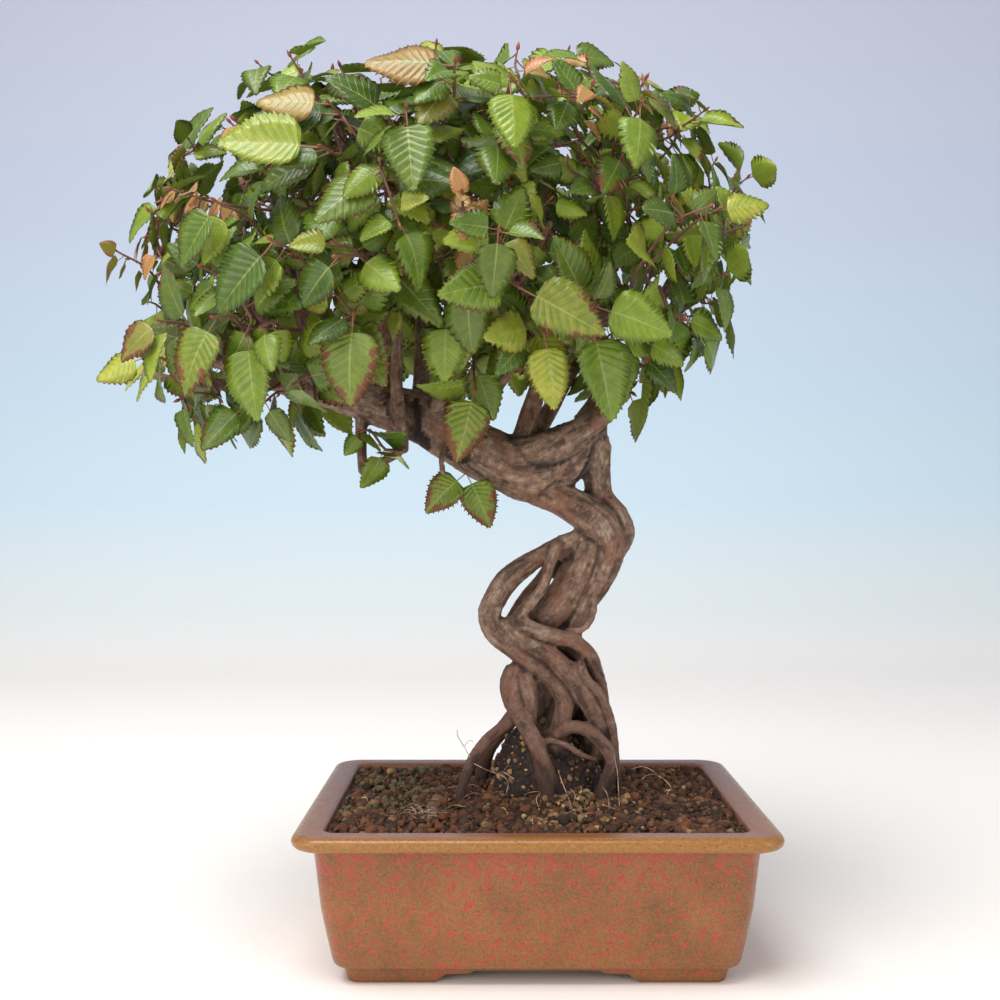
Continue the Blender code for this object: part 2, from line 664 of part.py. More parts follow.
def seat_roots(soil, home):
    """Opens plain holes in the soil where the crown and the roots go down."""
    cutters = [root_crown(GAP + 0.1, home)]
    for name in BURIED_ROOTS:
        cutters.append(root_tube(name, home, GAP + 0.1))
    for cutter in cutters:
        for spot in cutter.data.vertices:
            if spot.co.z < BURIED_BELOW * MM:
                spot.co.z -= (GAP + 0.1) * MM
        cut(soil, cutter)
    keep_main_body(soil)


def canopy_radius(direction):
    """How far the foliage reaches from the canopy's centre in a direction."""
    flat = math.hypot(direction.x, direction.z)
    angle = math.degrees(math.atan2(direction.z, direction.x))
    turns = [turn for turn, _ in CANOPY_OUTLINE] + [CANOPY_OUTLINE[0][0] + 360]
    reaches = [reach for _, reach in CANOPY_OUTLINE] + [CANOPY_OUTLINE[0][1]]
    if angle < turns[0]:
        angle += 360
    reach = np.interp(angle, turns, reaches)
    return 1 / math.sqrt((flat / reach) ** 2 + (direction.y / CANOPY_DEPTH) ** 2)


def shell_point(direction, share=1.0):
    direction = direction.normalized()
    return CANOPY_CENTRE + direction * canopy_radius(direction) * share


def line_of_sight(pixel):
    """From the eye to the trunk's plane through a pixel of the front view."""
    return Vector((
        (pixel[0] - PICTURE_MIDDLE[0]) / PICTURE_SCALE,
        0.0,
        EYE_HEIGHT + (PICTURE_MIDDLE[1] - pixel[1]) / PICTURE_SCALE,
    )) - EYE


def on_sight(pixel, depth):
    """The point at a given y that a pixel of the front view shows."""
    sight = line_of_sight(pixel)
    return EYE + sight * ((depth - EYE.y) / sight.y)


def in_front(pixel, share=0.97):
    """Where the line of sight through a pixel of the front view meets the canopy's front."""
    sight = line_of_sight(pixel)
    nearest = None
    for step in range(SIGHT_STEPS):
        point = EYE + sight * (SIGHT_START + step * SIGHT_STEP)
        spoke = point - CANOPY_CENTRE
        depth = spoke.length / canopy_radius(spoke.normalized())
        if nearest is None or depth < nearest[0]:
            nearest = (depth, point)
        if depth <= share:
            return point
    return nearest[1]


def wood_segments():
    """Every strand above the soil as start, end and the two radii, for keeping leaves off it."""
    rows = []
    for points in (TRUNK, ROLLED_FOLD, *ROOT_STRANDS.values(), *LIMBS.values(), *STUBS.values()):
        rows.extend((*a, *b) for a, b in zip(points, points[1:]) if max(a[2], b[2]) > LEAVES_ABOVE)
    return np.array(rows)


def wood_clearance(points, segments):
    """The distance from each point to the nearest wood, taken as round strands."""
    start = segments[:, :3]
    along = segments[:, 4:7] - start
    offset = points[:, None, :] - start[None]
    share = (offset * along).sum(2) / (along * along).sum(1)
    share = np.clip(share, 0, 1)
    gap = np.linalg.norm(offset - share[..., None] * along, axis=2)
    radius = segments[:, 3] + share * (segments[:, 7] - segments[:, 3])
    return (gap - radius).min(axis=1)


def cells_of(points):
    """The numbered cells of a fine grid that the points lie in."""
    index = np.floor(np.asarray(points) / CELL).astype(np.int64) + 1000
    return np.unique(index[:, 0] * 4000000 + index[:, 1] * 2000 + index[:, 2])


NEIGHBOURS = np.array([
    i * 4000000 + j * 2000 + k for i in (-1, 0, 1) for j in (-1, 0, 1) for k in (-1, 0, 1)
])


def with_neighbours(cells):
    return np.unique(cells[:, None] + NEIGHBOURS[None]).tolist()


def half_width(share, width):
    """Half the blade's width at a share of its length: heart-shaped below, drawn to a point."""
    return width * math.sin(math.pi * share ** 0.6) ** 0.75


def blade_height(share, across, bend, fold):
    """How far the blade lifts from its flat plane: it droops to the tip and folds on its rib."""
    return -bend * share * share + fold * abs(across)


def leaf_template(teeth, width, bend, fold):
    """A leaf of unit length, stalk included: corners and triangles.

    A corner is across, along, lift and face. Both faces share the rim, and the rib has an upper
    and a lower corner at each step, so the leaf is thick along its rib and thin at its cut edge."""
    rim = [(-PETIOLE, 0.024), (0.0, 0.032)]
    for step in range(2 * teeth - 1):
        share = 0.13 + 0.62 * step / (2 * teeth - 2)
        reach = TOOTH_OUT if step % 2 == 0 else TOOTH_IN
        rim.append((share, half_width(share, width) * reach))
    corners = []
    for side in (-1, 1):
        for share, across in rim:
            lift = blade_height(max(share, 0), across, bend, fold)
            corners.append((side * across, share, lift, 0))
    tip = len(corners)
    corners.append((0, 1, blade_height(1, 0, bend, fold), 0))
    for face in (1, -1):
        corners.append((0, -PETIOLE, 0, face * 0.6))
        corners.append((0, RIB_MIDDLE, blade_height(RIB_MIDDLE, 0, bend, fold), face))
    triangles = []
    for side, first in ((-1, 0), (1, len(rim))):
        chain = list(range(first, first + len(rim))) + [tip]
        for face, stalk in ((1, tip + 1), (-1, tip + 3)):
            middle = stalk + 1
            strip = [(stalk, chain[0], chain[1]), (stalk, chain[1], middle)]
            strip += [(middle, a, b) for a, b in zip(chain[1:], chain[2:])]
            triangles += [t if side * face > 0 else t[::-1] for t in strip]
    triangles += [(0, len(rim), tip + 1), (0, tip + 3, len(rim))]
    return np.array(corners, float), triangles


def spots_on(corners, triangles, step):
    """Points all over the upper face of a leaf, no further apart than step."""
    spots = []
    for a, b, c in (corners[list(t), :3] for t in triangles if all(corners[list(t), 3] >= 0)):
        longest = max(np.linalg.norm(b - a), np.linalg.norm(c - a), np.linalg.norm(c - b))
        count = max(1, math.ceil(longest / step))
        for i in range(count + 1):
            for j in range(count + 1 - i):
                spots.append(a + (b - a) * i / count + (c - a) * j / count)
    return np.array(spots)


def leaf_kinds():
    """The leaf shapes in use, each with the points that stand for it when space is checked."""
    kinds = []
    for width, bend, fold in BLADES:
        for teeth in (2, 3):
            corners, triangles = leaf_template(teeth, width, bend, fold)
            spots = spots_on(corners, triangles, CELL * 0.44 / LONGEST_LEAF)
            kinds.append((corners, triangles, spots))
    return kinds


def leaf_frame(start, ahead, up):
    """Rows that carry across, along and lift into the plant: the stalk leaves start."""
    ahead = ahead.normalized()
    across = ahead.cross(up).normalized()
    lift = across.cross(ahead)
    return np.array([across, ahead, lift]), np.array(start)


def placed(spots, length, frame):
    rows, start = frame
    along = spots[:, :3] + np.array([0, PETIOLE, 0])
    return start + length * (along @ rows)


def bezier(a, b, c, d, share):
    rest = 1 - share
    return a * rest**3 + b * 3 * rest**2 * share + c * 3 * rest * share**2 + d * share**3


def limb_points():
    """Where a shoot can start: a limb's point and direction, and how far off it is clear."""
    places = []
    for points in (*LIMBS.values(), TRUNK[-6:]):
        for a, b in zip(points, points[1:]):
            start, end = Vector(a[:3]), Vector(b[:3])
            for share in (0.15, 0.5, 0.85):
                radius = a[3] + (b[3] - a[3]) * share
                if radius <= THICKEST_WITH_SHOOTS:
                    clear = radius + GAP + 0.05
                    places.append((start.lerp(end, share), (end - start).normalized(), clear))
    return places


def shoot_path(place, target, arrival):
    """A shoot that leaves its limb squarely and arrives at the target in a given direction."""
    spot, along, radius = place
    toward = target - spot
    away = (toward - along * toward.dot(along)).normalized()
    base = spot + away * radius
    reach = (target - base).length
    second = base + away * reach * 0.3
    third = bezier(base, second, target - arrival * reach * 0.35, target, 0.68)
    return [base, second, third, target]


def fork_points(shoots):
    """Where a side twig can start: a point inside a shoot and its direction, by shoot."""
    places = []
    for number, path, _, _, _ in shoots:
        for a, b in zip(path, path[1:]):
            for share in (0.3, 0.7):
                places.append((number, (a.lerp(b, share), (b - a).normalized(), 0.0)))
    return places


def path_is_free(path, segments, taken, number):
    spots = []
    for a, b in zip(path, path[1:]):
        count = max(2, math.ceil((b - a).length))
        spots.extend(a.lerp(b, step / count) for step in range(count))
    spots = np.array([tuple(spot) for spot in spots])
    from_base = np.linalg.norm(spots - spots[0], axis=1)
    wanted = np.minimum(GAP + 0.55 * from_base, TWIG_OFF_WOOD)
    if (wood_clearance(spots, segments) < wanted).any():
        return None
    cells = with_neighbours(cells_of(spots))
    if any(taken.get(cell, number) != number for cell in cells):
        return None
    return cells


def spread_targets():
    """Directions spread evenly over the canopy, every second one first."""
    golden = math.pi * (3 - math.sqrt(5))
    for step in (*range(0, LATTICE, 2), *range(1, LATTICE, 2)):
        height = 1 - 2 * (step + 0.5) / LATTICE
        if height < LOWEST_DIRECTION:
            continue
        flat = math.sqrt(1 - height * height)
        yield Vector((flat * math.cos(golden * step), flat * math.sin(golden * step), height))


def shoot_wishes(draw):
    """Where shoots should end: the point, the way ahead, a settled end leaf's length and youth."""
    wishes = []
    for base, tip in FRONT_LEAVES:
        start, end = in_front(base), in_front(tip)
        if (end - start).length > LONGEST_LEAF:
            end = on_sight(tip, start.y)
        length = min((end - start).length, LONGEST_LEAF)
        ahead = (end - start).normalized()
        wishes.append((start - ahead * PETIOLE * length, ahead, length, False))
    young = [in_front(pixel, 0.96) for pixel in FRONT_SHOOTS]
    young += [shell_point(Vector(direction), 0.94) for direction in BACK_SHOOTS]
    for target in young:
        wishes.append((target, (target - CANOPY_CENTRE).normalized(), 0, True))
    settled = [wish[0] for wish in wishes]
    for direction in spread_targets():
        target = shell_point(direction, draw.uniform(*SPREAD_REACH))
        if min((target - other).length for other in settled) > CLEAR_OF_FRONT:
            wishes.append((target, direction, 0, False))
    return wishes


def plan_shoots(draw, segments):
    """Each shoot's node number, path, way ahead, settled end leaf and youth, and the space used.

    Once there are as many shoots as may stand by themselves, the rest fork from their twigs."""
    shoots = []
    taken = {}
    starts = []
    limb_places = [(None, place) for place in limb_points()]
    for target, ahead, length, young in shoot_wishes(draw):
        forks = len({shoot[0] for shoot in shoots}) >= MOST_SHOOTS
        places = fork_points(shoots) if forks else limb_places
        outward = (target - CANOPY_CENTRE).normalized()
        arrival = (outward + ahead * 0.5 + Vector((0, 0, 0.2))).normalized()
        ranked = sorted(places, key=lambda place: shoot_cost(place[1], target, starts))
        for parent, place in ranked[:PLACES_TRIED]:
            number = len(shoots) if parent is None else parent
            path = shoot_path(place, target, arrival)
            cells = path_is_free(path, segments, taken, number)
            if cells is not None and min_distance(path[0], starts) > CLOSEST_STARTS:
                taken.update((cell, number) for cell in cells)
                starts.append(path[0])
                shoots.append((number, path, ahead, length, young))
                break
        else:
            print("no way in for a shoot at", [round(v) for v in target])
    return shoots, taken


def min_distance(point, others):
    return min(((point - other).length for other in others), default=1000.0)


def shoot_cost(place, target, starts):
    """Short shoots that fork outward from their limb are best, and limbs share them out."""
    spot, along, radius = place
    toward = target - spot
    sharp = max(0.0, -toward.normalized().dot(along))
    crowd = max(0.0, ROOMY - min_distance(spot, starts))
    short = max(0.0, SHORT_SHOOT - toward.length)
    return toward.length + SHARP_COST * sharp + CROWD_COST * crowd + SHORT_COST * short


def point_on(path, back):
    """The point and direction on a shoot at a distance back from its tip."""
    for a, b in zip(path[::-1], path[-2::-1]):
        run = (a - b).length
        if back <= run:
            return a.lerp(b, back / run), (a - b).normalized()
        back -= run
    return None


def try_leaf(shoot, order, draw, kinds, segments, twig_cells, leaf_cells):
    """One leaf for a shoot, at the first of several turns where it touches nothing."""
    number, path, ahead, settled_length, young = shoot
    spacing = YOUNG_SPACING if young else LEAF_SPACING
    found = point_on(path, 1.5 if order == 0 else 1.0 + spacing * order)
    if found is None:
        return None
    start, along = found
    outward = (start - CANOPY_CENTRE).normalized()
    up = (outward + Vector((0, 0, 0.3))).normalized()
    flowing = along - outward * along.dot(outward) * LIE_FLAT - Vector((0, 0, END_DROOP))
    side = along.cross(up).normalized() * (1 if order % 2 else -1)
    for attempt in range(TRIES):
        loose = 0.15 + 0.07 * attempt
        wobble = Vector([draw.uniform(-1, 1) for _ in range(3)]) * loose
        if order == 0 and settled_length:
            direction = ahead + wobble * 0.25
            length = settled_length
            normal = (up + Vector((0, -0.5, 0))).normalized()
        else:
            sideways = along * 0.3 + side - Vector((0, 0, 0.3))
            direction = (sideways if order else flowing) + wobble
            limits = YOUNG_LENGTH if young else LEAF_LENGTH
            length = draw.uniform(*limits) * (0.86 if order == 0 else 1.0)
            length *= 1 - 0.02 * attempt
            normal = up + wobble * 0.6
        kind = draw.randrange(len(BLADES)) * 2 + (1 if length > LONG_LEAF else 0)
        frame = leaf_frame(start, direction, normal)
        spots = placed(kinds[kind][2], length, frame)
        cells = cells_of(spots)
        if any(cell in leaf_cells for cell in cells.tolist()):
            continue
        if any(twig_cells.get(cell, number) != number for cell in cells.tolist()):
            continue
        if (wood_clearance(spots[::5], segments) < LEAF_OFF_WOOD).any():
            continue
        leaf_cells.update(with_neighbours(cells))
        return kind, length, frame
    return None


def plan_canopy():
    """All shoots with their leaves, placed so that none crosses another."""
    draw = random.Random(SEED)
    segments = wood_segments()
    kinds = leaf_kinds()
    shoots, twig_cells = plan_shoots(draw, segments)
    leaf_cells = set()
    leaves = {shoot[0]: [] for shoot in shoots}
    left = LEAF_BUDGET
    for order in range(MOST_LEAVES):
        for shoot in shoots:
            _, _, _, settled_length, young = shoot
            most = YOUNG_LEAVES_EACH if young else FRONT_LEAVES_EACH if settled_length else MOST_LEAVES
            if left == 0 or order >= most:
                continue
            leaf = try_leaf(shoot, order, draw, kinds, segments, twig_cells, leaf_cells)
            if leaf:
                leaves[shoot[0]].append(leaf)
                left -= 1
    return shoots, leaves, kinds


def thin_out(spray, paths):
    """Merges the crowded corners where stalks enter the shoot and leaves the blades as they are.

    A result that is open or cuts itself is given up for a gentler one, or for the full mesh."""
    full = spray.data.copy()
    lines = [line for path in paths for line in zip(path, path[1:])]
    for share in THIN_SHARES:
        group = spray.vertex_groups.new(name="near the shoot")
        for spot in spray.data.vertices:
            if min(off_line(spot.co / MM, a, b) for a, b in lines) < NEAR_SHOOT:
                group.add([spot.index], 1.0, "REPLACE")
        decimate = spray.modifiers.new("thin out", "DECIMATE")
        decimate.ratio = share
        decimate.vertex_group = group.name
        apply_modifiers(spray)
        spray.vertex_groups.clear()
        keep_main_body(spray)
        if is_sound(spray.data):
            return
        spray.data = full.copy()


def is_sound(mesh):
    """Whether every edge has two faces and no two faces that share no corner meet."""
    shape = bmesh.new()
    shape.from_mesh(mesh)
    bmesh.ops.triangulate(shape, faces=shape.faces)
    shape.faces.ensure_lookup_table()
    closed = all(len(edge.link_faces) == 2 for edge in shape.edges)
    tree = BVHTree.FromBMesh(shape)
    corners = [{spot.index for spot in face.verts} for face in shape.faces]
    crossed = any(not corners[a] & corners[b] for a, b in tree.overlap(tree))
    shape.free()
    return closed and not crossed


def off_line(point, start, end):
    along = end - start
    share = (point - start).dot(along) / along.length_squared
    return (point - start - along * min(1.0, max(0.0, share))).length


def make_leaf(kind, length, frame, kinds, home):
    corners, triangles, _ = kinds[kind]
    rows, _ = frame
    spots = placed(corners, length, frame)
    spots += corners[:, 3:4] * rows[2] * RIB_THICKNESS / 2
    mesh = bpy.data.meshes.new("leaf")
    mesh.from_pydata([tuple(spot * MM) for spot in spots], [], triangles)
    leaf = bpy.data.objects.new("leaf", mesh)
    home.objects.link(leaf)
    return leaf


def grow_spray(name, paths, young, leaves, kinds, home):
    """A forked shoot and its leaves as one solid. Where it isn't sound, one leaf is left out."""
    thick = TWIG_RADIUS * (YOUNG_TWIG if young else 1.0)
    widths = [thick * share for share in TWIG_TAPER]
    for left_out in (None, *range(len(leaves) - 1, -1, -1)):
        kept = [leaf for order, leaf in enumerate(leaves) if order != left_out]
        pieces = []
        for path in paths:
            points = [(*spot, width) for spot, width in zip(path, widths)]
            pieces.append(tube("twig", points, 4, home))
        pieces += [make_leaf(*leaf, kinds, home) for leaf in kept]
        spray = union(name, pieces, home)
        if is_sound(spray.data) or left_out == 0:
            return spray
        bpy.data.objects.remove(spray, do_unlink=True)


def make_sprays(home, looks):
    shoots, leaves, kinds = plan_canopy()
    counts = {False: 0, True: 0}
    for number, _, _, _, young in [shoot for place, shoot in enumerate(shoots) if shoot[0] == place]:
        if len(leaves[number]) < 2:
            continue
        paths = [shoot[1] for shoot in shoots if shoot[0] == number]
        counts[young] += 1
        name = ("young_shoot_%02d" if young else "leafy_spray_%02d") % counts[young]
        spray = grow_spray(name, paths, young, leaves[number], kinds, home)
        thin_out(spray, paths)
        wear(spray, looks["young" if young else "leaf"])
    print("sprays", counts, "leaves", sum(len(each) for each in leaves.values()))


def main():
    clear_scene()
    home = new_collection("korean hornbeam bonsai")
    looks = {
        "glaze": material("speckled_glaze", (0.34, 0.15, 0.08), 0.32),
        "soil": material("akadama_soil", (0.06, 0.035, 0.022), 0.95),
        "mesh": material("drain_mesh_plastic", (0.03, 0.03, 0.03), 0.6),
        "bark": material("grey_brown_bark", (0.23, 0.15, 0.11), 0.85),
        "leaf": material("hornbeam_leaf", (0.10, 0.22, 0.04), 0.45),
        "young": material("young_copper_leaf", (0.55, 0.22, 0.10), 0.5),
    }
    wear(make_pot(home), looks["glaze"])
    soil = make_soil(home)
    wear(soil, looks["soil"])
    wear(make_drain_mesh("drain_mesh_left", -1, home), looks["mesh"])
    wear(make_drain_mesh("drain_mesh_right", 1, home), looks["mesh"])
    for thing in home.objects:
        thing.data.transform(Matrix.Translation((POT_PLACE * MM, 0, 0)))
    wear(make_wood(home), looks["bark"])
    seat_roots(soil, home)
    make_sprays(home, looks)
    stand_on_origin(home)


def stand_on_origin(home):
    """Puts the middle of the footprint at the origin by moving an empty that holds everything."""
    things = list(home.objects)
    bpy.context.view_layer.update()
    corners = [thing.matrix_world @ Vector(c) for thing in things for c in thing.bound_box]
    low = [min(corner[axis] for corner in corners) for axis in range(3)]
    high = [max(corner[axis] for corner in corners) for axis in range(3)]
    stand = bpy.data.objects.new("stand", None)
    home.objects.link(stand)
    for thing in things:
        thing.parent = stand
    stand.location = (-(low[0] + high[0]) / 2, -(low[1] + high[1]) / 2, -low[2])


main()
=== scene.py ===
# %% [markdown]
# A Korean hornbeam bonsai stands in its glazed rectangular pot. This file dresses the solid
# model of it: every visible surface gets its fine shape and its finish here. The lesson goes
# from the light and the pot to the soil, the wood, the leaves and the copper young shoots.
# Lengths in the tables are millimetres. The tree is measured from a point 2.4 mm left of the
# pot's middle at table height, and the pot and its soil from the pot's middle.

# %% The frame that everything stands in
import json
import math
import random

import bmesh
import bpy
import numpy as np
from mathutils import Matrix, Vector, noise
from mathutils.kdtree import KDTree

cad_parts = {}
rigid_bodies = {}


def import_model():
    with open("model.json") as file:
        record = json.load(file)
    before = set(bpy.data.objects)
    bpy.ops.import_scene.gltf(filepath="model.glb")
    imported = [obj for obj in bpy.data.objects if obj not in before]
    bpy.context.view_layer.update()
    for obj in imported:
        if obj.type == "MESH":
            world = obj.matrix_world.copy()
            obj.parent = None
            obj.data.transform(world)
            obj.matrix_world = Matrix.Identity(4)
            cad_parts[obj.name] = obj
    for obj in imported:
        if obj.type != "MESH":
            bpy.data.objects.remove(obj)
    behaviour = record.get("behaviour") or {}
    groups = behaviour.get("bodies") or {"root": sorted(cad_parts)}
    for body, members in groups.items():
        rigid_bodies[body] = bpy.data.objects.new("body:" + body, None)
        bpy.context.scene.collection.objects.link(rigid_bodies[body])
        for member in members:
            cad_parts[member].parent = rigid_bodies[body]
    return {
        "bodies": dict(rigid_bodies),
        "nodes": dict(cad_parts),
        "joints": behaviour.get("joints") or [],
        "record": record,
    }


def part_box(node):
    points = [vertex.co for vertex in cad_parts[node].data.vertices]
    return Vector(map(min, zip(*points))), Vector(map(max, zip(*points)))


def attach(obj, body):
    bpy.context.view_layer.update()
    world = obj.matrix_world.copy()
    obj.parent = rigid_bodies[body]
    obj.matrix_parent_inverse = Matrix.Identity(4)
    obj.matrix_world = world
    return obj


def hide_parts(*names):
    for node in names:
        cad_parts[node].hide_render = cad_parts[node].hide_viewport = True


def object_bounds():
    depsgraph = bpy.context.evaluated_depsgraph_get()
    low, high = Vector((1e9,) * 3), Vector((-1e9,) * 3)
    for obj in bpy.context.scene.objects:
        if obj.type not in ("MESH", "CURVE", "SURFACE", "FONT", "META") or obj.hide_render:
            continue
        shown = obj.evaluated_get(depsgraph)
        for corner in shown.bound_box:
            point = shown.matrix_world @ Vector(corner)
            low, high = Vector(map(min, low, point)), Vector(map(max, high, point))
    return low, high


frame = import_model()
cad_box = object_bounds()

MM = 0.001
pot_low, pot_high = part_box("pot")
POT_PLACE = 2.4
HOME = Vector(((pot_low.x + pot_high.x) / 2 - POT_PLACE * MM, (pot_low.y + pot_high.y) / 2, pot_low.z))
print("the tables start here, in metres:", [round(value, 4) for value in HOME])
print("box of the solid model:", [[round(v, 4) for v in corner] for corner in cad_box])

# %% [markdown]
# Every piece below is made from a list of corners and a list of faces, so one helper turns those
# into a Blender object. It moves table millimetres to world metres, shades the faces smoothly and
# can store values on the corners, which the materials read later to paint veins or bark.

# %% One helper that makes a piece
def world(spots):
    """Table millimetres as world metres."""
    return np.asarray(spots, float) * MM + np.array(HOME)


def remember(mesh, values):
    """Store values on a mesh's corners: each name maps to a number, vector or colour per corner."""
    for key, rows in values.items():
        rows = np.asarray(rows, np.float32)
        kind = {1: "FLOAT", 3: "FLOAT_VECTOR", 4: "FLOAT_COLOR"}[1 if rows.ndim == 1 else rows.shape[1]]
        field = {"FLOAT": "value", "FLOAT_VECTOR": "vector", "FLOAT_COLOR": "color"}[kind]
        made = mesh.attributes.new(key, kind, "POINT")
        made.data.foreach_set(field, rows.ravel())


def make_piece(name, spots, faces, values=None, smooth=True):
    """An object from corners in millimetres, with values to remember on them."""
    mesh = bpy.data.meshes.new(name)
    mesh.from_pydata(world(spots).tolist(), [], faces)
    remember(mesh, values or {})
    if smooth:
        mesh.shade_smooth()
    piece = bpy.data.objects.new(name, mesh)
    bpy.context.scene.collection.objects.link(piece)
    return piece


def hand_over(piece, slot, finish, *nodes):
    """The piece rides on the plant, takes its finish and stands for the solids it refines."""
    piece.data.materials.clear()
    piece.data.materials.append(finish)
    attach(piece, "root")
    if nodes:
        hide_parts(*nodes)


def triangles(piece):
    return sum(len(face.vertices) - 2 for face in piece.data.polygons)


# %% [markdown]
# A finish is a small network of nodes. Wiring one by hand takes many lines, so these helpers
# each add one kind of node and give back its output. A number may stand wherever a wire may.

# %% Helpers that wire a finish
def new_finish(name, roughness):
    made = bpy.data.materials.new(name)
    made.use_nodes = True
    shader = made.node_tree.nodes["Principled BSDF"]
    shader.inputs["Roughness"].default_value = roughness
    return made, made.node_tree, shader


def feed(tree, socket, value):
    if isinstance(value, bpy.types.NodeSocket):
        tree.links.new(value, socket)
    elif isinstance(value, tuple) and len(value) == 3 and socket.type == "RGBA":
        socket.default_value = (*value, 1.0)
    else:
        socket.default_value = value


def sums(tree, operation, first, second=0.0, third=None):
    made = tree.nodes.new("ShaderNodeMath")
    made.operation = operation
    for socket, value in zip(made.inputs, (first, second, third)):
        if value is not None:
            feed(tree, socket, value)
    return made.outputs[0]


def plus(tree, first, second):
    return sums(tree, "ADD", first, second)


def times(tree, first, second):
    return sums(tree, "MULTIPLY", first, second)


def blend(tree, share, first, second, how="MIX"):
    made = tree.nodes.new("ShaderNodeMix")
    made.data_type = "RGBA"
    made.blend_type = how
    feed(tree, made.inputs[0], share)
    feed(tree, made.inputs[6], first)
    feed(tree, made.inputs[7], second)
    return made.outputs[2]


def fade(tree, value, start, end, low=0.0, high=1.0):
    """A soft step from low to high while the value goes from start to end."""
    made = tree.nodes.new("ShaderNodeMapRange")
    made.interpolation_type = "SMOOTHSTEP"
    for key, number in (("Value", value), ("From Min", start), ("From Max", end)):
        feed(tree, made.inputs[key], number)
    made.inputs["To Min"].default_value = low
    made.inputs["To Max"].default_value = high
    return made.outputs[0]


def clouds(tree, place, scale, detail=3.0, rough=0.5):
    made = tree.nodes.new("ShaderNodeTexNoise")
    feed(tree, made.inputs["Vector"], place)
    made.inputs["Scale"].default_value = scale
    made.inputs["Detail"].default_value = detail
    made.inputs["Roughness"].default_value = rough
    return made.outputs[0]


def crumbs(tree, place, scale):
    """Distance to the nearest of many scattered dots."""
    made = tree.nodes.new("ShaderNodeTexVoronoi")
    feed(tree, made.inputs["Vector"], place)
    made.inputs["Scale"].default_value = scale
    return made.outputs["Distance"]


def colours(tree, value, *stops):
    """A colour ramp through (position, colour) stops."""
    made = tree.nodes.new("ShaderNodeValToRGB")
    ramp = made.color_ramp
    while len(ramp.elements) < len(stops):
        ramp.elements.new(0.5)
    for element, (position, colour) in zip(ramp.elements, stops):
        element.position = position
        element.color = (*colour, 1.0)
    feed(tree, made.inputs[0], value)
    return made.outputs[0]


def relief(tree, shader, height, distance, strength=1.0, below=None):
    made = tree.nodes.new("ShaderNodeBump")
    made.inputs["Strength"].default_value = strength
    made.inputs["Distance"].default_value = distance
    feed(tree, made.inputs["Height"], height)
    if below is not None:
        tree.links.new(below, made.inputs["Normal"])
    tree.links.new(made.outputs[0], shader.inputs["Normal"])
    return made.outputs[0]


def in_millimetres(tree):
    """The place on the object, in millimetres, as a vector and as x, y and z."""
    where = tree.nodes.new("ShaderNodeTexCoord")
    scale = tree.nodes.new("ShaderNodeVectorMath")
    scale.operation = "SCALE"
    tree.links.new(where.outputs["Object"], scale.inputs[0])
    scale.inputs["Scale"].default_value = 1 / MM
    apart = tree.nodes.new("ShaderNodeSeparateXYZ")
    tree.links.new(scale.outputs[0], apart.inputs[0])
    return scale.outputs[0], apart.outputs


def stored(tree, name):
    """A value stored on the corners: its vector, its number, its parts and its fourth part."""
    read = tree.nodes.new("ShaderNodeAttribute")
    read.attribute_name = name
    apart = tree.nodes.new("ShaderNodeSeparateXYZ")
    tree.links.new(read.outputs["Vector"], apart.inputs[0])
    return read.outputs["Vector"], read.outputs["Fac"], apart.outputs, read.outputs["Alpha"]


def from_screen(red, green, blue):
    """A colour picked on a screen, 0 to 255, as the light values that shaders use."""
    return tuple(
        value / 12.92 if value <= 0.04045 else ((value + 0.055) / 1.055) ** 2.4
        for value in (red / 255, green / 255, blue / 255)
    )


# %% [markdown]
# The camera stands where the photographer's did: level, a little above half the tree's height,
# and about 0.6 m in front of the pot. A 44 mm lens gives the same perspective, which shows in how
# much of the soil is seen. The floor is plain and pale and curves up into a backdrop, and the
# light is soft: a wide disc from above, two weaker ones in front, and a pale sky all round.

# %% Camera, floor and light
EYE = Vector((-13.6, -589.0, 207.0))
LENS = 44.0
LOOK_SHIFT = 0.005
PICTURE_MIDDLE = (528.0, 505.0)
PICTURE_SCALE = 2.07


def make_camera():
    data = bpy.data.cameras.new("photographer")
    data.lens = LENS
    data.sensor_width = 36.0
    data.shift_y = LOOK_SHIFT
    data.clip_start = 0.01
    seat = bpy.data.objects.new("photographer", data)
    bpy.context.scene.collection.objects.link(seat)
    seat.location = HOME + EYE * MM
    seat.rotation_euler = (math.pi / 2, 0.0, 0.0)
    bpy.context.scene.camera = seat


def make_backdrop():
    """A floor that curves up into a wall far behind the plant."""
    bend, reach, top, wide = 600.0, 900.0, 3200.0, 4000.0
    line = [(-3500.0, 0.0), (reach, 0.0)]
    for step in range(1, 13):
        angle = math.pi / 2 * step / 12
        line.append((reach + bend * math.sin(angle), bend * (1 - math.cos(angle))))
    line.append((reach + bend, top))
    spots = [(side * wide, y, z - 0.05) for y, z in line for side in (-1, 1)]
    faces = [(i, i + 1, i + 3, i + 2) for i in range(0, len(spots) - 2, 2)]
    floor = make_piece("floor", spots, faces)
    finish, tree, shader = new_finish("pale_floor", 0.7)
    _, (_, _, height) = in_millimetres(tree)
    tint = colours(
        tree, times(tree, height, 1 / 1100),
        (0.0, from_screen(255, 247, 239)), (0.05, from_screen(238, 241, 239)),
        (0.19, from_screen(214, 233, 243)), (0.36, from_screen(204, 224, 239)),
        (0.64, from_screen(200, 211, 230)), (0.97, from_screen(202, 206, 224)),
    )
    tree.links.new(tint, shader.inputs["Base Color"])
    floor.data.materials.append(finish)


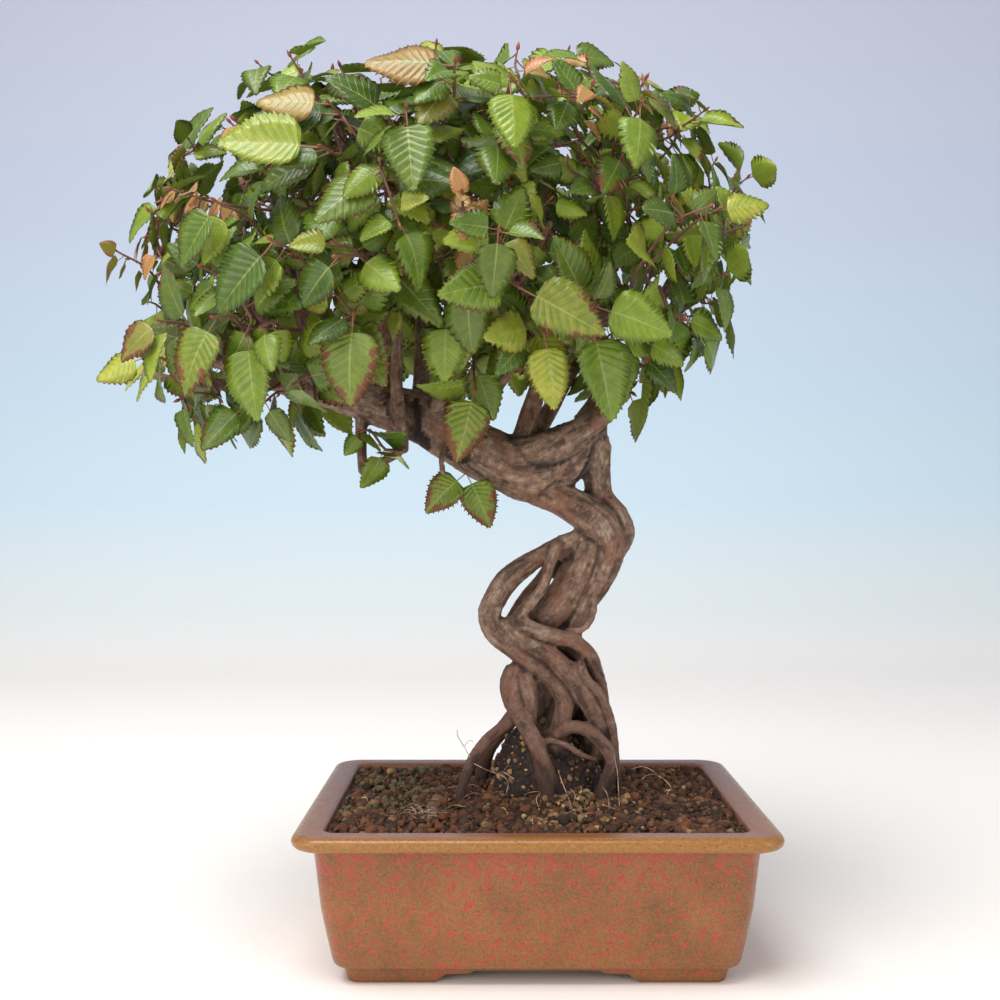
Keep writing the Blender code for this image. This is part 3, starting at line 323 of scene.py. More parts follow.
def make_light(name, place, aim, size, power, colour):
    data = bpy.data.lights.new(name, "AREA")
    data.shape = "DISK"
    data.size = size * MM
    data.energy = power
    data.color = colour
    lamp = bpy.data.objects.new(name, data)
    bpy.context.scene.collection.objects.link(lamp)
    lamp.location = HOME + Vector(place) * MM
    lamp.rotation_euler = (Vector(aim) - Vector(place)).to_track_quat("-Z", "Y").to_euler()


make_camera()
make_backdrop()
make_light("sky_box", (-350, -450, 1400), (-30, 0, 220), 1000, 20.0, (0.96, 0.98, 1.0))
make_light("front_left", (-1100, -1300, 700), (-30, 0, 230), 1100, 10.5, (1.0, 0.95, 0.89))
make_light("front_right", (1200, -1100, 500), (0, 0, 200), 1000, 5.0, (1.0, 0.96, 0.92))
sky = bpy.data.worlds.new("pale_sky")
sky.use_nodes = True
sky.node_tree.nodes["Background"].inputs["Color"].default_value = (0.92, 0.96, 1.0, 1.0)
sky.node_tree.nodes["Background"].inputs["Strength"].default_value = 0.5
bpy.context.scene.world = sky
bpy.context.scene.view_settings.view_transform = "Standard"
print("camera at", [round(value, 3) for value in bpy.context.scene.camera.location])


# %% [markdown]
# The pot is one fired piece: a tapered body, a rolled lip and four feet with stepped notches
# between them. It could be cut from a block, but rings of rounded rectangles joined one to the
# next give the soft corners and the rolled lip directly, from the underside up and over the rim
# and down inside to the floor. Where the lip, the rim's top and the inner wall lie is then read
# off each corner's place, for the glaze.

# %% Shape of the pot's body
POT_WIDTH, POT_DEPTH, POT_HEIGHT = 209.5, 163.0, 68.0
FLOOR_TOP = 14.0
RIM_TOP_WIDTH, BODY_TAPER = 13.0, 7.5
DRAIN_OFFSET, DRAIN_RADIUS = 42.0, 8.0
LIP_FROM = 60.9
LIP_WIDTH, RIM_TURNS_ROSE = 4.2, 12.0
OUTSIDE = (
    (18.1, 7.6, 8.0), (17.0, 7.85, 8.8), (16.3, 8.5, 9.5), (15.5, 10.6, 10.0), (13.5, 21.0, 10.2),
    (11.15, 34.0, 10.5), (9.9, 46.0, 10.8), (9.1, 54.0, 11.0), (8.5, 58.6, 11.0), (7.9, 60.3, 11.0),
    (6.4, 61.05, 11.4), (4.4, 61.15, 11.7), (2.6, 61.4, 12.0), (1.3, 62.1, 12.0), (0.4, 63.3, 12.0),
    (0.0, 64.8, 12.0), (0.15, 65.8, 12.0), (0.7, 66.8, 12.0), (1.6, 67.5, 11.6), (2.8, 67.9, 11.3),
    (4.4, 68.0, 11.0), (8.0, 67.9, 9.4), (11.2, 67.8, 8.0), (12.4, 67.4, 7.4), (13.0, 66.5, 7.1),
)


def rounded_ring(half_x, half_y, corner, steps=10, back=(), side=()):
    """A rectangle with round corners, anticlockwise, with extra corners on its straight runs."""
    spots = []
    for turn, (sx, sy) in enumerate(((1, 1), (-1, 1), (-1, -1), (1, -1))):
        for step in range(steps + 1):
            angle = (turn + step / steps) * math.pi / 2
            x = sx * (half_x - corner) + corner * math.cos(angle)
            y = sy * (half_y - corner) + corner * math.sin(angle)
            spots.append((x, y, None))
        run = side if turn % 2 else back
        for across in run if turn > 1 else [-value for value in run]:
            spots.append((sx * half_x, across, across) if turn % 2 else (across, sy * half_y, across))
    return spots


def rings_to_faces(count, around, closed=False):
    """Quads between rings that follow each other, and back to the first one if closed."""
    faces = []
    for low in range(count if closed else count - 1):
        high = (low + 1) % count
        for i in range(around):
            j = (i + 1) % around
            faces.append((low * around + i, low * around + j, high * around + j, high * around + i))
    return faces


def body_of_pot():
    levels = [(POT_WIDTH / 2 - i, POT_DEPTH / 2 - i, z, c) for i, z, c in OUTSIDE]
    for height in (62.5, 55.0, 40.0, 24.0, FLOOR_TOP):
        shrink = RIM_TOP_WIDTH + BODY_TAPER * (POT_HEIGHT - height) / (POT_HEIGHT - FLOOR_TOP)
        levels.append((POT_WIDTH / 2 - shrink, POT_DEPTH / 2 - shrink, height, 7.0))
    spots = []
    for half_x, half_y, height, corner in levels:
        ring = rounded_ring(half_x, half_y, corner)
        spots += [(x + POT_PLACE, y, height) for x, y, _ in ring]
    around = len(ring)
    faces = rings_to_faces(len(levels), around)
    faces.append(tuple(reversed(range(around))))
    faces.append(tuple(range(len(spots) - around, len(spots))))
    return spots, faces


def glaze_zone(spot):
    """How far a corner belongs to the lip, to the rim's top and inner wall, and to bare clay."""
    x, y, height = (spot - HOME) / MM
    inset = min(POT_WIDTH / 2 - abs(x - POT_PLACE), POT_DEPTH / 2 - abs(y))
    wall = RIM_TOP_WIDTH + BODY_TAPER * (POT_HEIGHT - height) / (POT_HEIGHT - FLOOR_TOP)
    if height > FLOOR_TOP - 0.5 and inset > wall - 0.8:
        return 0.0, 1.0, 0.0
    if height > LIP_FROM and inset < LIP_WIDTH:
        return 1.0, 0.0, 0.0
    if height > LIP_FROM:
        return 0.3, float(np.interp(inset, (LIP_WIDTH, RIM_TURNS_ROSE), (0.3, 0.9))), 0.0
    return 0.0, 0.0, 0.0


# %% [markdown]
# Under the body runs a low band that the feet are cut from. It is swept round as a closed ring
# whose underside rises where a notch is, with the small step that the real pot has. The bare clay
# under the feet is left unglazed, as potters do so that the pot doesn't stick to the kiln shelf.

# %% Feet and drain holes
FRONT_RUN = [-45.0, -44.4, -39.5, -29.5, -27.0, 0.0, 27.0, 29.5, 39.5, 44.4, 45.0]
SIDE_RUN = [-27.0, -26.4, -21.5, -11.5, -9.0, 0.0, 9.0, 11.5, 21.5, 26.4, 27.0]
FOOT_TOP = 8.6
NOTCH = ((0.0, 0.0), (0.6, 0.0), (5.5, 3.3), (15.5, 3.6), (18.0, 4.8))


def notch_height(across, half_width):
    if across is None:
        return 0.0
    from_edge = half_width - abs(across)
    return float(np.interp(from_edge, [way for way, _ in NOTCH], [rise for _, rise in NOTCH]))


def feet_of_pot():
    spots, zones = [], []
    sections = ((2.8, 0.0, 1.0), (2.1, 0.3, 1.0), (1.8, 1.2, 0.2), (1.1, 3.9, 0.0), (0.0, FOOT_TOP, 0.0),
                (11.0, FOOT_TOP, 0.0), (11.0, 1.2, 0.5), (10.0, 0.0, 1.0))
    for inset, rise, clay in sections:
        half_x, half_y = POT_WIDTH / 2 - 20 - inset, POT_DEPTH / 2 - 20 - inset
        corner = 6.0 if inset < 5 else 1.5
        ring = rounded_ring(half_x, half_y, corner, 8, FRONT_RUN, SIDE_RUN)
        for x, y, across in ring:
            front = across is not None and abs(abs(y) - half_y) < 0.001
            low = notch_height(across, FRONT_RUN[-1] if front else SIDE_RUN[-1])
            spots.append((x + POT_PLACE, y, min(low + rise, FOOT_TOP)))
            zones.append((0.0, 0.0, clay))
    faces = rings_to_faces(len(sections), len(ring), closed=True)
    return spots, faces, zones


def frozen(piece):
    """The piece with its modifiers applied."""
    graph = bpy.context.evaluated_depsgraph_get()
    piece.data = bpy.data.meshes.new_from_object(piece.evaluated_get(graph))
    piece.modifiers.clear()


def drill(piece, x, radius):
    bpy.ops.mesh.primitive_cylinder_add(radius=radius * MM, depth=0.03, vertices=48)
    bit = bpy.context.object
    bit.location = HOME + Vector((x, 0, 10)) * MM
    bpy.context.view_layer.update()
    cut = piece.modifiers.new("drain hole", "BOOLEAN")
    cut.operation = "DIFFERENCE"
    cut.object = bit
    frozen(piece)
    bpy.data.objects.remove(bit, do_unlink=True)


def make_pot():
    pot = make_piece("glazed_pot", *body_of_pot())
    for side in (-1, 1):
        drill(pot, POT_PLACE + side * DRAIN_OFFSET, DRAIN_RADIUS)
    remember(pot.data, {"glaze_zone": [glaze_zone(spot.co) for spot in pot.data.vertices]})
    pot.data.shade_smooth()
    spots, faces, zones = feet_of_pot()
    feet = make_piece("glazed_feet", spots, faces, {"glaze_zone": zones})
    for piece in (pot, feet):
        edges = piece.modifiers.new("crisp edges", "EDGE_SPLIT")
        edges.split_angle = math.radians(42)
    return pot, feet


# %% [markdown]
# The glaze broke in the kiln into a mottle: ochre brown with clusters of rose-red blotches, denser
# under the lip, fine dark pits, and a golden lip where it ran thin. Layers of noise give this
# without any picture: a broad one says where the clusters lie, a finer one draws their ragged
# shapes, and scattered dots make the rounder blotches and the pits.

# %% Glaze
def glaze_finish():
    made, tree, shader = new_finish("speckled_glaze", 0.3)
    place, (_, _, height) = in_millimetres(tree)
    _, _, (lip, inner, clay), _ = stored(tree, "glaze_zone")
    shifted = tree.nodes.new("ShaderNodeVectorMath")
    tree.links.new(place, shifted.inputs[0])
    shifted.inputs[1].default_value = (31.0, 17.0, 53.0)
    broad = clouds(tree, place, 0.035, 3.0, 0.55)
    mottle = clouds(tree, place, 0.3, 5.0, 0.7)
    fleck = clouds(tree, shifted.outputs[0], 1.1, 3.0, 0.6)
    ground = colours(
        tree, plus(tree, times(tree, broad, 0.4), times(tree, fleck, 0.6)),
        (0.36, from_screen(108, 68, 32)), (0.5, from_screen(132, 86, 41)),
        (0.64, from_screen(150, 102, 52)),
    )
    under_lip = fade(tree, height, 34.0, 60.0, 0.0, 0.055)
    ragged = plus(tree, mottle, times(tree, sums(tree, "SUBTRACT", broad, 0.5), 0.14))
    ragged = fade(tree, plus(tree, ragged, under_lip), 0.505, 0.6)
    rose = times(tree, ragged, fade(tree, fleck, 0.36, 0.54, 0.25, 0.8))
    round_spots = fade(tree, crumbs(tree, place, 0.15), 0.27, 0.16)
    spots = times(tree, round_spots, fade(tree, broad, 0.44, 0.56))
    rose = sums(tree, "MAXIMUM", rose, times(tree, spots, 0.9))
    rose = times(tree, rose, sums(tree, "SUBTRACT", 1.0, times(tree, lip, 0.97)))
    red = blend(tree, fade(tree, fleck, 0.38, 0.6), from_screen(150, 50, 38), from_screen(178, 66, 55))
    colour = blend(tree, rose, ground, red)
    gold = blend(tree, fade(tree, fleck, 0.4, 0.62), from_screen(142, 95, 43), from_screen(162, 112, 56))
    colour = blend(tree, times(tree, lip, 0.9), colour, gold)
    dusty = blend(tree, fade(tree, mottle, 0.4, 0.6), from_screen(132, 88, 64), from_screen(146, 90, 72))
    colour = blend(tree, inner, colour, dusty)
    pits = fade(tree, crumbs(tree, place, 0.3), 0.13, 0.06)
    colour = blend(tree, times(tree, pits, 0.75), colour, from_screen(58, 34, 26))
    colour = blend(tree, clay, colour, from_screen(112, 80, 58))
    tree.links.new(colour, shader.inputs["Base Color"])
    shine = plus(tree, fade(tree, mottle, 0.35, 0.65, 0.24, 0.36), times(tree, clay, 0.5))
    shine = plus(tree, shine, times(tree, inner, 0.12))
    tree.links.new(shine, shader.inputs["Roughness"])
    swell = plus(tree, mottle, times(tree, pits, -0.5))
    relief(tree, shader, swell, 0.0002, 0.5)
    return made


glaze = glaze_finish()
for piece in make_pot():
    hand_over(piece, "speckled_glaze", glaze, "pot")
    print(piece.name, triangles(piece), "triangles")

# %% [markdown]
# The drain mesh is plain black plastic and hardly shows, so the solids stay as they are and only
# take a finish.

# %% Drain mesh
plastic, _, _ = new_finish("drain_mesh_plastic", 0.55)
plastic.node_tree.nodes["Principled BSDF"].inputs["Base Color"].default_value = (0.02, 0.02, 0.02, 1)
for name in ("drain_mesh_left", "drain_mesh_right"):
    mesh = frame["nodes"][name]
    mesh.data.materials.clear()
    mesh.data.materials.append(plastic)
print("drain mesh keeps its two solids")
# %% [markdown]
# The soil is a mix of fired clay lumps: brown and red-brown with a few tan ones, grey-green with
# algae at the left. The solid under it only gives the lie of the land. Its real look comes from
# thousands of separate lumps, each a small ball with flats cut on it, strewn over the surface
# and sunk part way. They are gathered into two pieces with a colour stored for each lump.

# %% Grains of soil
ROOT_CROWN_CENTRE = (9.0, 4.0)
GRAIN_COLOURS = [from_screen(*c) for c in (
    (106, 72, 48), (114, 70, 44), (92, 61, 42), (100, 67, 46), (124, 80, 52), (76, 52, 38),
    (130, 100, 70), (66, 46, 35), (112, 63, 38),
)]
TAN_COLOURS = [from_screen(*c) for c in ((180, 142, 94), (196, 166, 122), (154, 114, 74), (140, 114, 88))]
GREEN_GRAIN = from_screen(118, 108, 78)


def land_height(x, y):
    """The level of the soil: flat by the wall with a low mound at the roots."""
    from_roots = np.hypot(x - ROOT_CROWN_CENTRE[0], y - ROOT_CROWN_CENTRE[1])
    return 65.4 + 7.4 * np.exp(-((from_roots / 34.0) ** 2))


def lump(detail, draw):
    """A ball with flats cut on it, as corners and triangles."""
    ball = bmesh.new()
    bmesh.ops.create_icosphere(ball, subdivisions=detail, radius=1.0)
    spots = np.array([spot.co[:] for spot in ball.verts])
    faces = np.array([[spot.index for spot in face.verts] for face in ball.faces])
    ball.free()
    for _ in range(9):
        way = draw.normal(size=3)
        way /= np.linalg.norm(way)
        spots -= way * np.clip(spots @ way - draw.uniform(0.55, 0.85), 0, 1)[:, None] * 0.95
    return spots * (1 + draw.uniform(-0.06, 0.06, (len(spots), 1))), faces


def heap(name, places, sizes, tones, detail, seed):
    """One piece of lumps, each with its own turn and squash, at its place and in its colour."""
    draw = np.random.default_rng(seed)
    kinds = [lump(detail, draw) for _ in range(10)]
    spots, faces, shades = [], [], []
    first = 0
    for place, size, tone in zip(places, sizes, tones):
        shape, rims = kinds[draw.integers(len(kinds))]
        turn = np.array(Matrix.Rotation(draw.uniform(0, 6.28), 3, Vector(draw.normal(size=3))))
        stretch = np.array([1.0, draw.uniform(0.7, 1.0), draw.uniform(0.6, 0.95)]) * size
        spots.append((shape * stretch) @ turn.T + np.array(place))
        faces.append(rims + first)
        first += len(shape)
        shades.append(np.tile([*(np.array(tone) * draw.uniform(0.6, 1.25)), 1.0], (len(shape), 1)))
    return make_piece(name, np.vstack(spots), np.vstack(faces).tolist(), {"grain_tone": np.vstack(shades)})


def strew(count, low, high, sunk, seed):
    """Places, sizes and colours for lumps all over the soil."""
    draw = np.random.default_rng(seed)
    wide, deep = POT_WIDTH / 2 - RIM_TOP_WIDTH - 0.9, POT_DEPTH / 2 - RIM_TOP_WIDTH - 0.9
    places, sizes, tones = [], [], []
    for _ in range(count):
        size = low + (high - low) * draw.random() ** 1.7
        x = draw.uniform(-wide + size, wide - size)
        y = draw.uniform(-deep + size, deep - size)
        swell = 1.1 * noise.noise(Vector((x * 0.05, y * 0.05, 3.0))) + 0.6
        places.append((x + POT_PLACE, y, land_height(x, y) - size * sunk + draw.uniform(-0.3, 0.9) + swell))
        sizes.append(size)
        near_roots = math.hypot(x - 14, y + 27)
        tone = GRAIN_COLOURS[draw.integers(len(GRAIN_COLOURS))]
        if x < -45 and y > -30 and draw.random() < 0.4:
            tone = GREEN_GRAIN
        if draw.random() < (0.38 if near_roots < 17 else 0.12 if near_roots < 34 else 0.015):
            tone = TAN_COLOURS[draw.integers(len(TAN_COLOURS))]
        tones.append(tone)
    return places, sizes, tones


def soil_finish(name, toned):
    made, tree, shader = new_finish(name, 0.92)
    place, _ = in_millimetres(tree)
    rough = clouds(tree, place, 1.4, 4.0, 0.65)
    base = from_screen(66, 42, 28)
    if toned:
        base, _, _, _ = stored(tree, "grain_tone")
    shade = colours(tree, rough, (0.3, (0.5, 0.5, 0.5)), (0.7, (1.35, 1.3, 1.25)))
    tree.links.new(blend(tree, 1.0, base, shade, "MULTIPLY"), shader.inputs["Base Color"])
    relief(tree, shader, rough, 0.0006, 1.0)
    return made


grain_finish = soil_finish("akadama_grains", True)
for name, count, detail, low, high, sunk, seed in (
    ("coarse_grains", 1350, 2, 1.8, 3.6, 0.25, 3), ("fine_grains", 2700, 1, 0.8, 1.7, 0.2, 4),
):
    grains = heap(name, *strew(count, low, high, sunk, seed), detail, seed)
    hand_over(grains, "akadama_soil", grain_finish)
    print(name, triangles(grains), "triangles")
soil = frame["nodes"]["soil"]
soil.data.materials.clear()
soil.data.materials.append(soil_finish("akadama_soil", False))


# %% [markdown]
# The tree's wood is one growth: exposed roots that wind round each other, a trunk that bends to
# the left with a rolled fold of old bark over its crest, and the limbs. Each strand is told as
# points of x, y, z and radius, in the same millimetres as the solid model, so that every ridge
# made here lies on its solid.

# %% Strands of the trunk and the roots
TRUNK = (
    (31, 2, 243, 9), (22, 2, 235, 12.5), (12, 1, 228.5, 15), (2, 0, 224.5, 15.8), (-9, 0, 226, 15),
    (-21, 0, 231.5, 14), (-34, 0, 239.5, 13), (-48, 0, 247, 12), (-64, 0, 253, 11.2),
    (-80, 1, 258, 10.3), (-96, 2, 262.5, 9.2), (-111, 3, 266, 7.8), (-126, 4, 269.5, 6),
    (-143, 6, 274, 4.4), (-160, 8, 281, 3), (-173, 8, 290, 2),
)
ROLLED_FOLD = (
    (-6, -7, 230, 5), (9, -9, 235, 7), (22, -9, 241, 6.6), (32, -6, 247.5, 5.8), (38, 0, 251, 5),
)
ROOT_STRANDS = {
    "right_edge": (
        (34, 3, 246, 4), (36, 1, 234, 3.4), (37, 0, 221.5, 3.2), (38, 1, 212, 3.4),
        (43.5, 2, 203, 4.8), (47, 3, 193, 4.8), (43, 4, 184, 4.2), (36.5, 5, 174.5, 4),
        (31, 5, 166, 3.6),
    ),
    "neck": (
        (3, -1, 213.5, 6.5), (14.5, -1, 210, 8), (24, -2, 205, 9), (33, -2, 198.5, 9.2),
        (38.3, -2, 190, 8.2), (38.3, -2, 182, 7.5), (35.5, -2, 174, 6.6), (30.7, -1, 165.5, 6),
        (26.5, 0, 157.5, 5), (23, 2, 148, 4.4), (21, 6, 136, 4.6),
    ),
    "neck_back": ((33, 3, 236, 7.5), (33.5, 4, 221, 6.8), (35, 5, 208, 7), (38, 5, 194, 7)),
    "core": (
        (35, 6, 195, 7), (29, 8, 173, 7.5), (19, 8, 155, 8), (12, 7, 138, 8.5), (15, 7, 118, 10),
        (13, 6, 98, 13),
    ),
    "flat_mass": (
        (29, 1, 188, 8), (24, 0, 175.5, 8.6), (18, 0, 164.5, 8.4), (12, 0, 156, 7.4),
        (5, 0, 150, 6),
    ),
    "left_loop": (
        (31, 0, 193, 5), (22.5, -1, 189, 5.4), (13.5, -3, 185.7, 5.2), (3.5, -4, 181, 5),
        (-4.5, -4, 176, 5.7), (-10.8, -4, 170.5, 6.2), (-15.3, -4, 163.5, 5.8),
        (-18.6, -5, 155, 5.4), (-16.3, -7, 147, 5.2), (-6.5, -9, 138.8, 5.2),
        (4.5, -9, 130.8, 5), (12.5, -8, 122.8, 4.8), (17, -8, 113.5, 4.5), (15.3, -8, 103.5, 4.3),
        (12, -6, 94, 4),
    ),
    "loop_inner": (
        (15, 6, 184, 4), (8, 8, 172, 3.6), (-2, 8, 160, 3.6), (-8, 5, 150, 4),
    ),
    "front_thin": (
        (13.5, -8, 189, 3), (10, -12, 179.5, 3), (7, -12.5, 169, 2.8), (1, -11, 161, 3),
        (-4.5, -10, 154.5, 3.4), (-7, -8, 148, 4),
    ),
    "second_strand": (
        (-10.5, -6, 152, 4.4), (-7, -9, 145.5, 4.5), (0, -11, 141, 4.5), (9, -12, 136.5, 4.7),
        (17, -12, 130, 4.8), (24, -11, 121.5, 4.8), (29, -10, 112.5, 4.8), (33, -8, 104, 4.6),
        (34.5, -6, 95, 4.3), (34, -4, 86, 4),
    ),
    "third_strand": (
        (-5, -10, 151.5, 3.4), (4.5, -13, 148, 3.6), (15.5, -13, 144.5, 3.5),
        (24, -11, 141, 3.4), (29.5, -8, 135.5, 3.4), (32.5, -5, 128, 3.1), (35, -2, 120, 3),
        (36.3, 1, 110, 3), (34, 3, 99, 3),
    ),
    "right_bulge": (
        (14, 2, 142, 5), (24, 1, 137, 5), (29.3, 1, 128, 5), (32.3, 2, 117, 5), (33, 3, 105, 5),
        (30.6, 4, 91.5, 5.1),
    ),
    "right_thin": (
        (24, -14, 134, 2), (27, -15, 126, 2), (33.5, -14, 119, 2), (37, -12, 111.5, 2),
        (40, -10, 102, 1.9), (41.5, -9, 90, 1.7), (42.5, -9, 78, 1.6), (43, -9, 61, 1.5),
    ),
    "right_small_loop": (
        (31, -6, 163, 1.9), (30.5, -9, 155, 1.8), (26, -10, 148.5, 1.8), (18, -11, 147.5, 1.8),
    ),
    "left_knob": (
        (-5.2, -6, 129, 5.6), (-8, -7, 121, 6.5), (-6.6, -9, 113.5, 5.8), (-3, -12, 105.5, 4.8),
        (2.5, -15, 96.5, 4.4), (6, -17, 88, 4.3), (8.5, -18, 79, 4.1), (10, -18, 59, 3.9),
    ),
    "knob_front": ((-2, -9, 126, 4.6), (0, -10, 119, 4.6), (1, -10, 111, 4.2), (1, -7, 103, 3.2)),
    "left_leg": (
        (-5, -6, 107, 3.6), (-12, -5, 101, 3.3), (-19, -5, 95.5, 3.1), (-25, -6, 88, 2.9),
        (-29, -7, 80.5, 2.7), (-32, -8, 71, 2.5), (-34, -8, 59, 2.3),
    ),
    "right_arch": (
        (13, -9, 97, 3.2), (19, -13, 102, 3.3), (26, -15, 101.5, 3.4), (33, -15, 96.5, 3.5),
        (38, -15, 90, 3.5), (39, -15, 83, 3.6), (36, -15, 76, 3.8), (31, -15, 59, 4),
    ),
    "thin_root": ((9, -15, 97, 1.8), (18, -19, 94.5, 1.8), (24, -19, 90.5, 1.7), (32, -14, 87, 1.5)),
    "back_twist": (
        (32, 10, 190, 5), (18, 15, 168, 5), (0, 14, 150, 5), (-2, 12, 132, 5), (10, 13, 114, 5),
        (24, 14, 98, 5),
    ),
    "back_left_leg": (
        (0, 10, 112, 4.6), (-12, 18, 96, 4.2), (-20, 26, 82, 3.8), (-24, 31, 60, 3.4),
    ),
    "back_right_leg": (
        (24, 10, 116, 4.8), (32, 20, 98, 4.4), (38, 28, 83, 4), (41, 33, 60, 3.6),
    ),
}
ROOT_CROWN = ((57, 25, 21), (72, 27, 23), (84, 24, 20), (95, 18, 15), (103, 11, 9))

LIMBS = {
    "left_low": (
        (-116, -2, 266, 4), (-136, -20, 263, 3.2), (-156, -34, 263, 2.5), (-174, -42, 266, 1.8),
    ),
    "left_front": (
        (-94, -4, 262, 4.6), (-106, -32, 273, 3.6), (-116, -58, 286, 2.8), (-124, -80, 302, 2),
    ),
    "left_back": (
        (-98, 6, 264, 4.6), (-112, 36, 279, 3.6), (-124, 62, 293, 2.8), (-132, 82, 308, 2),
    ),
    "upper_left": (
        (-100, 0, 264, 5), (-108, 4, 292, 4), (-118, 8, 322, 3.2), (-131, 6, 350, 2.4),
        (-140, 4, 366, 1.8),
    ),
    "apex": (
        (-72, 2, 256, 6), (-72, 6, 292, 4.6), (-67, 8, 328, 3.6), (-61, 4, 364, 2.6),
        (-57, 0, 394, 1.8),
    ),
    "apex_front": (
        (-70, 6, 288, 4), (-74, -22, 322, 3.1), (-80, -46, 352, 2.4), (-84, -60, 378, 1.8),
    ),
    "back": ((-52, 6, 250, 5), (-54, 38, 280, 4), (-56, 66, 308, 3), (-58, 86, 336, 2.1)),
    "front_middle": (
        (-59, -11, 232, 2.6), (-60, -13, 246, 3.3), (-62, -15, 263, 3.1), (-61, -24, 290, 2.6),
        (-56, -46, 318, 2.2), (-50, -66, 342, 1.8),
    ),
    "front_right": (
        (-46, -6, 250, 3.8), (-34, -24, 270, 3.1), (-18, -43, 289, 2.6), (-2, -62, 308, 2.1),
        (8, -76, 326, 1.7),
    ),
    "right_low": (
        (-28, -8, 240, 3.6), (-10, -28, 267, 2.9), (14, -40, 280, 2.4), (38, -45, 292, 2),
        (58, -46, 304, 1.6),
    ),
    "upper_right": (
        (-4, 2, 234, 5.6), (6, 6, 268, 4.4), (18, 7, 304, 3.5), (30, 3, 340, 2.7),
        (36, 0, 374, 1.9),
    ),
    "right": (
        (20, 6, 238, 4.8), (40, 12, 268, 3.8), (59, 12, 298, 3), (75, 8, 326, 2.4),
        (84, 3, 350, 1.8),
    ),
    "back_right": ((2, 8, 238, 4.8), (19, 37, 268, 3.7), (35, 65, 296, 2.8), (44, 85, 320, 2)),
    "back_top": ((12, 8, 286, 3.6), (-2, 34, 320, 3), (-12, 56, 352, 2.3), (-18, 66, 376, 1.8)),
    "right_front": ((47, 12, 280, 3.2), (60, -18, 300, 2.6), (70, -44, 322, 1.9)),
    "hanging_twig": ((-40, -9, 236, 2), (-41, -17, 228, 1.7), (-40, -22, 221, 1.4)),
}
STUBS = {
    "cut_upright": ((-101, -20, 268, 3), (-99, -26, 292, 2.8), (-102, -27, 316, 2.6)),
    "cut_under": ((-80, -2, 250, 3.2), (-80, -4, 236, 2.8), (-79, -5, 222, 2.5)),
    "cut_slant": ((-79, -5, 224, 2.4), (-70, -6, 227.5, 2.4), (-61, -8, 232, 2.4)),
    "cut_left": ((-112, -8, 268, 3), (-118, -14, 280, 2.6), (-124, -18, 288, 2.4)),
}

# %% [markdown]
# A smooth curve through each strand's points carries a ring of corners along it. The rings aren't
# round: slow waves along the strand give old wood its muscles. The strands then become one skin by
# melting them together on a fine grid, as sculptors do, so roots flow into the trunk with no seam.

# %% Strands become one skin
GRID = 1.28


def smooth_strand(points, step=2.0):
    """Even steps along a smooth curve through the table's points."""
    rows = np.array(points, float)
    rows = np.vstack([2 * rows[0] - rows[1], rows, 2 * rows[-1] - rows[-2]])
    made = []
    for p0, p1, p2, p3 in zip(rows, rows[1:], rows[2:], rows[3:]):
        count = max(2, math.ceil(np.linalg.norm(p2[:3] - p1[:3]) / step))
        for t in np.arange(count) / count:
            cubic = (3 * p1 - p0 - 3 * p2 + p3) * t**3
            made.append(0.5 * (2 * p1 + (p2 - p0) * t + (2 * p0 - 5 * p1 + 4 * p2 - p3) * t * t + cubic))
    made.append(rows[-2])
    made = np.array(made)
    made[:, 3] = np.maximum(made[:, 3], 0.1)
    return made


def strand_frames(rows):
    """The way along a strand and two ways across it, which turn as little as they can."""
    along = np.gradient(rows[:, :3], axis=0)
    along /= np.linalg.norm(along, axis=1)[:, None]
    side = np.cross(along[0], (0.3, 1.0, 0.2))
    sides = []
    for way in along:
        side = side - way * side.dot(way)
        side /= np.linalg.norm(side)
        sides.append(side)
    sides = np.array(sides)
    return along, sides, np.cross(along, sides)


def run_along(rows):
    steps = np.linalg.norm(np.diff(rows[:, :3], axis=0), axis=1)
    return np.concatenate([[0.0], np.cumsum(steps)])


def strand_tube(rows, sides, muscle=0.0, seed=0.0):
    """A closed tube along a strand. muscle is how far its waves go, as a share of the radius."""
    along, one, other = strand_frames(rows)
    turns = np.arange(sides) * 2 * math.pi / sides
    arc = run_along(rows)[:, None]
    wave = np.sin(2 * turns + arc / 11 + seed) * 0.6 + np.sin(3 * turns - arc / 7 + 2 * seed) * 0.5
    wave += np.sin(5 * turns + arc / 15 + 3 * seed) * 0.25
    reach = rows[:, 3:4] * (1 + muscle * wave)
    ring = np.cos(turns)[None, :, None] * one[:, None] + np.sin(turns)[None, :, None] * other[:, None]
    spots = (rows[:, None, :3] + ring * reach[..., None]).reshape(-1, 3)
    ends = rows[[0, -1], :3] + along[[0, -1]] * rows[[0, -1], 3:4] * [[-0.5], [0.5]]
    last = len(spots) - sides
    faces = rings_to_faces(len(rows), sides)
    for i in range(sides):
        j = (i + 1) % sides
        faces.append((i, len(spots), j))
        faces.append((last + i, last + j, len(spots) + 1))
    return np.vstack([spots, ends]), faces


def crown_skin():
    """The dense knot of roots and soil under the trunk, drawn as stacked rings."""
    draw = random.Random(5)
    spots = []
    for height, wide, deep in ROOT_CROWN:
        for turn in range(24):
            angle = 2 * math.pi * turn / 24
            bump = 1 + draw.uniform(-0.07, 0.07) + 0.06 * math.sin(5 * angle)
            spots.append((ROOT_CROWN_CENTRE[0] + wide * bump * math.cos(angle),
                          ROOT_CROWN_CENTRE[1] + deep * bump * math.sin(angle), height))
    faces = rings_to_faces(len(ROOT_CROWN), 24)
    faces.append(tuple(reversed(range(24))))
    faces.append(tuple(range(len(spots) - 24, len(spots))))
    return spots, faces


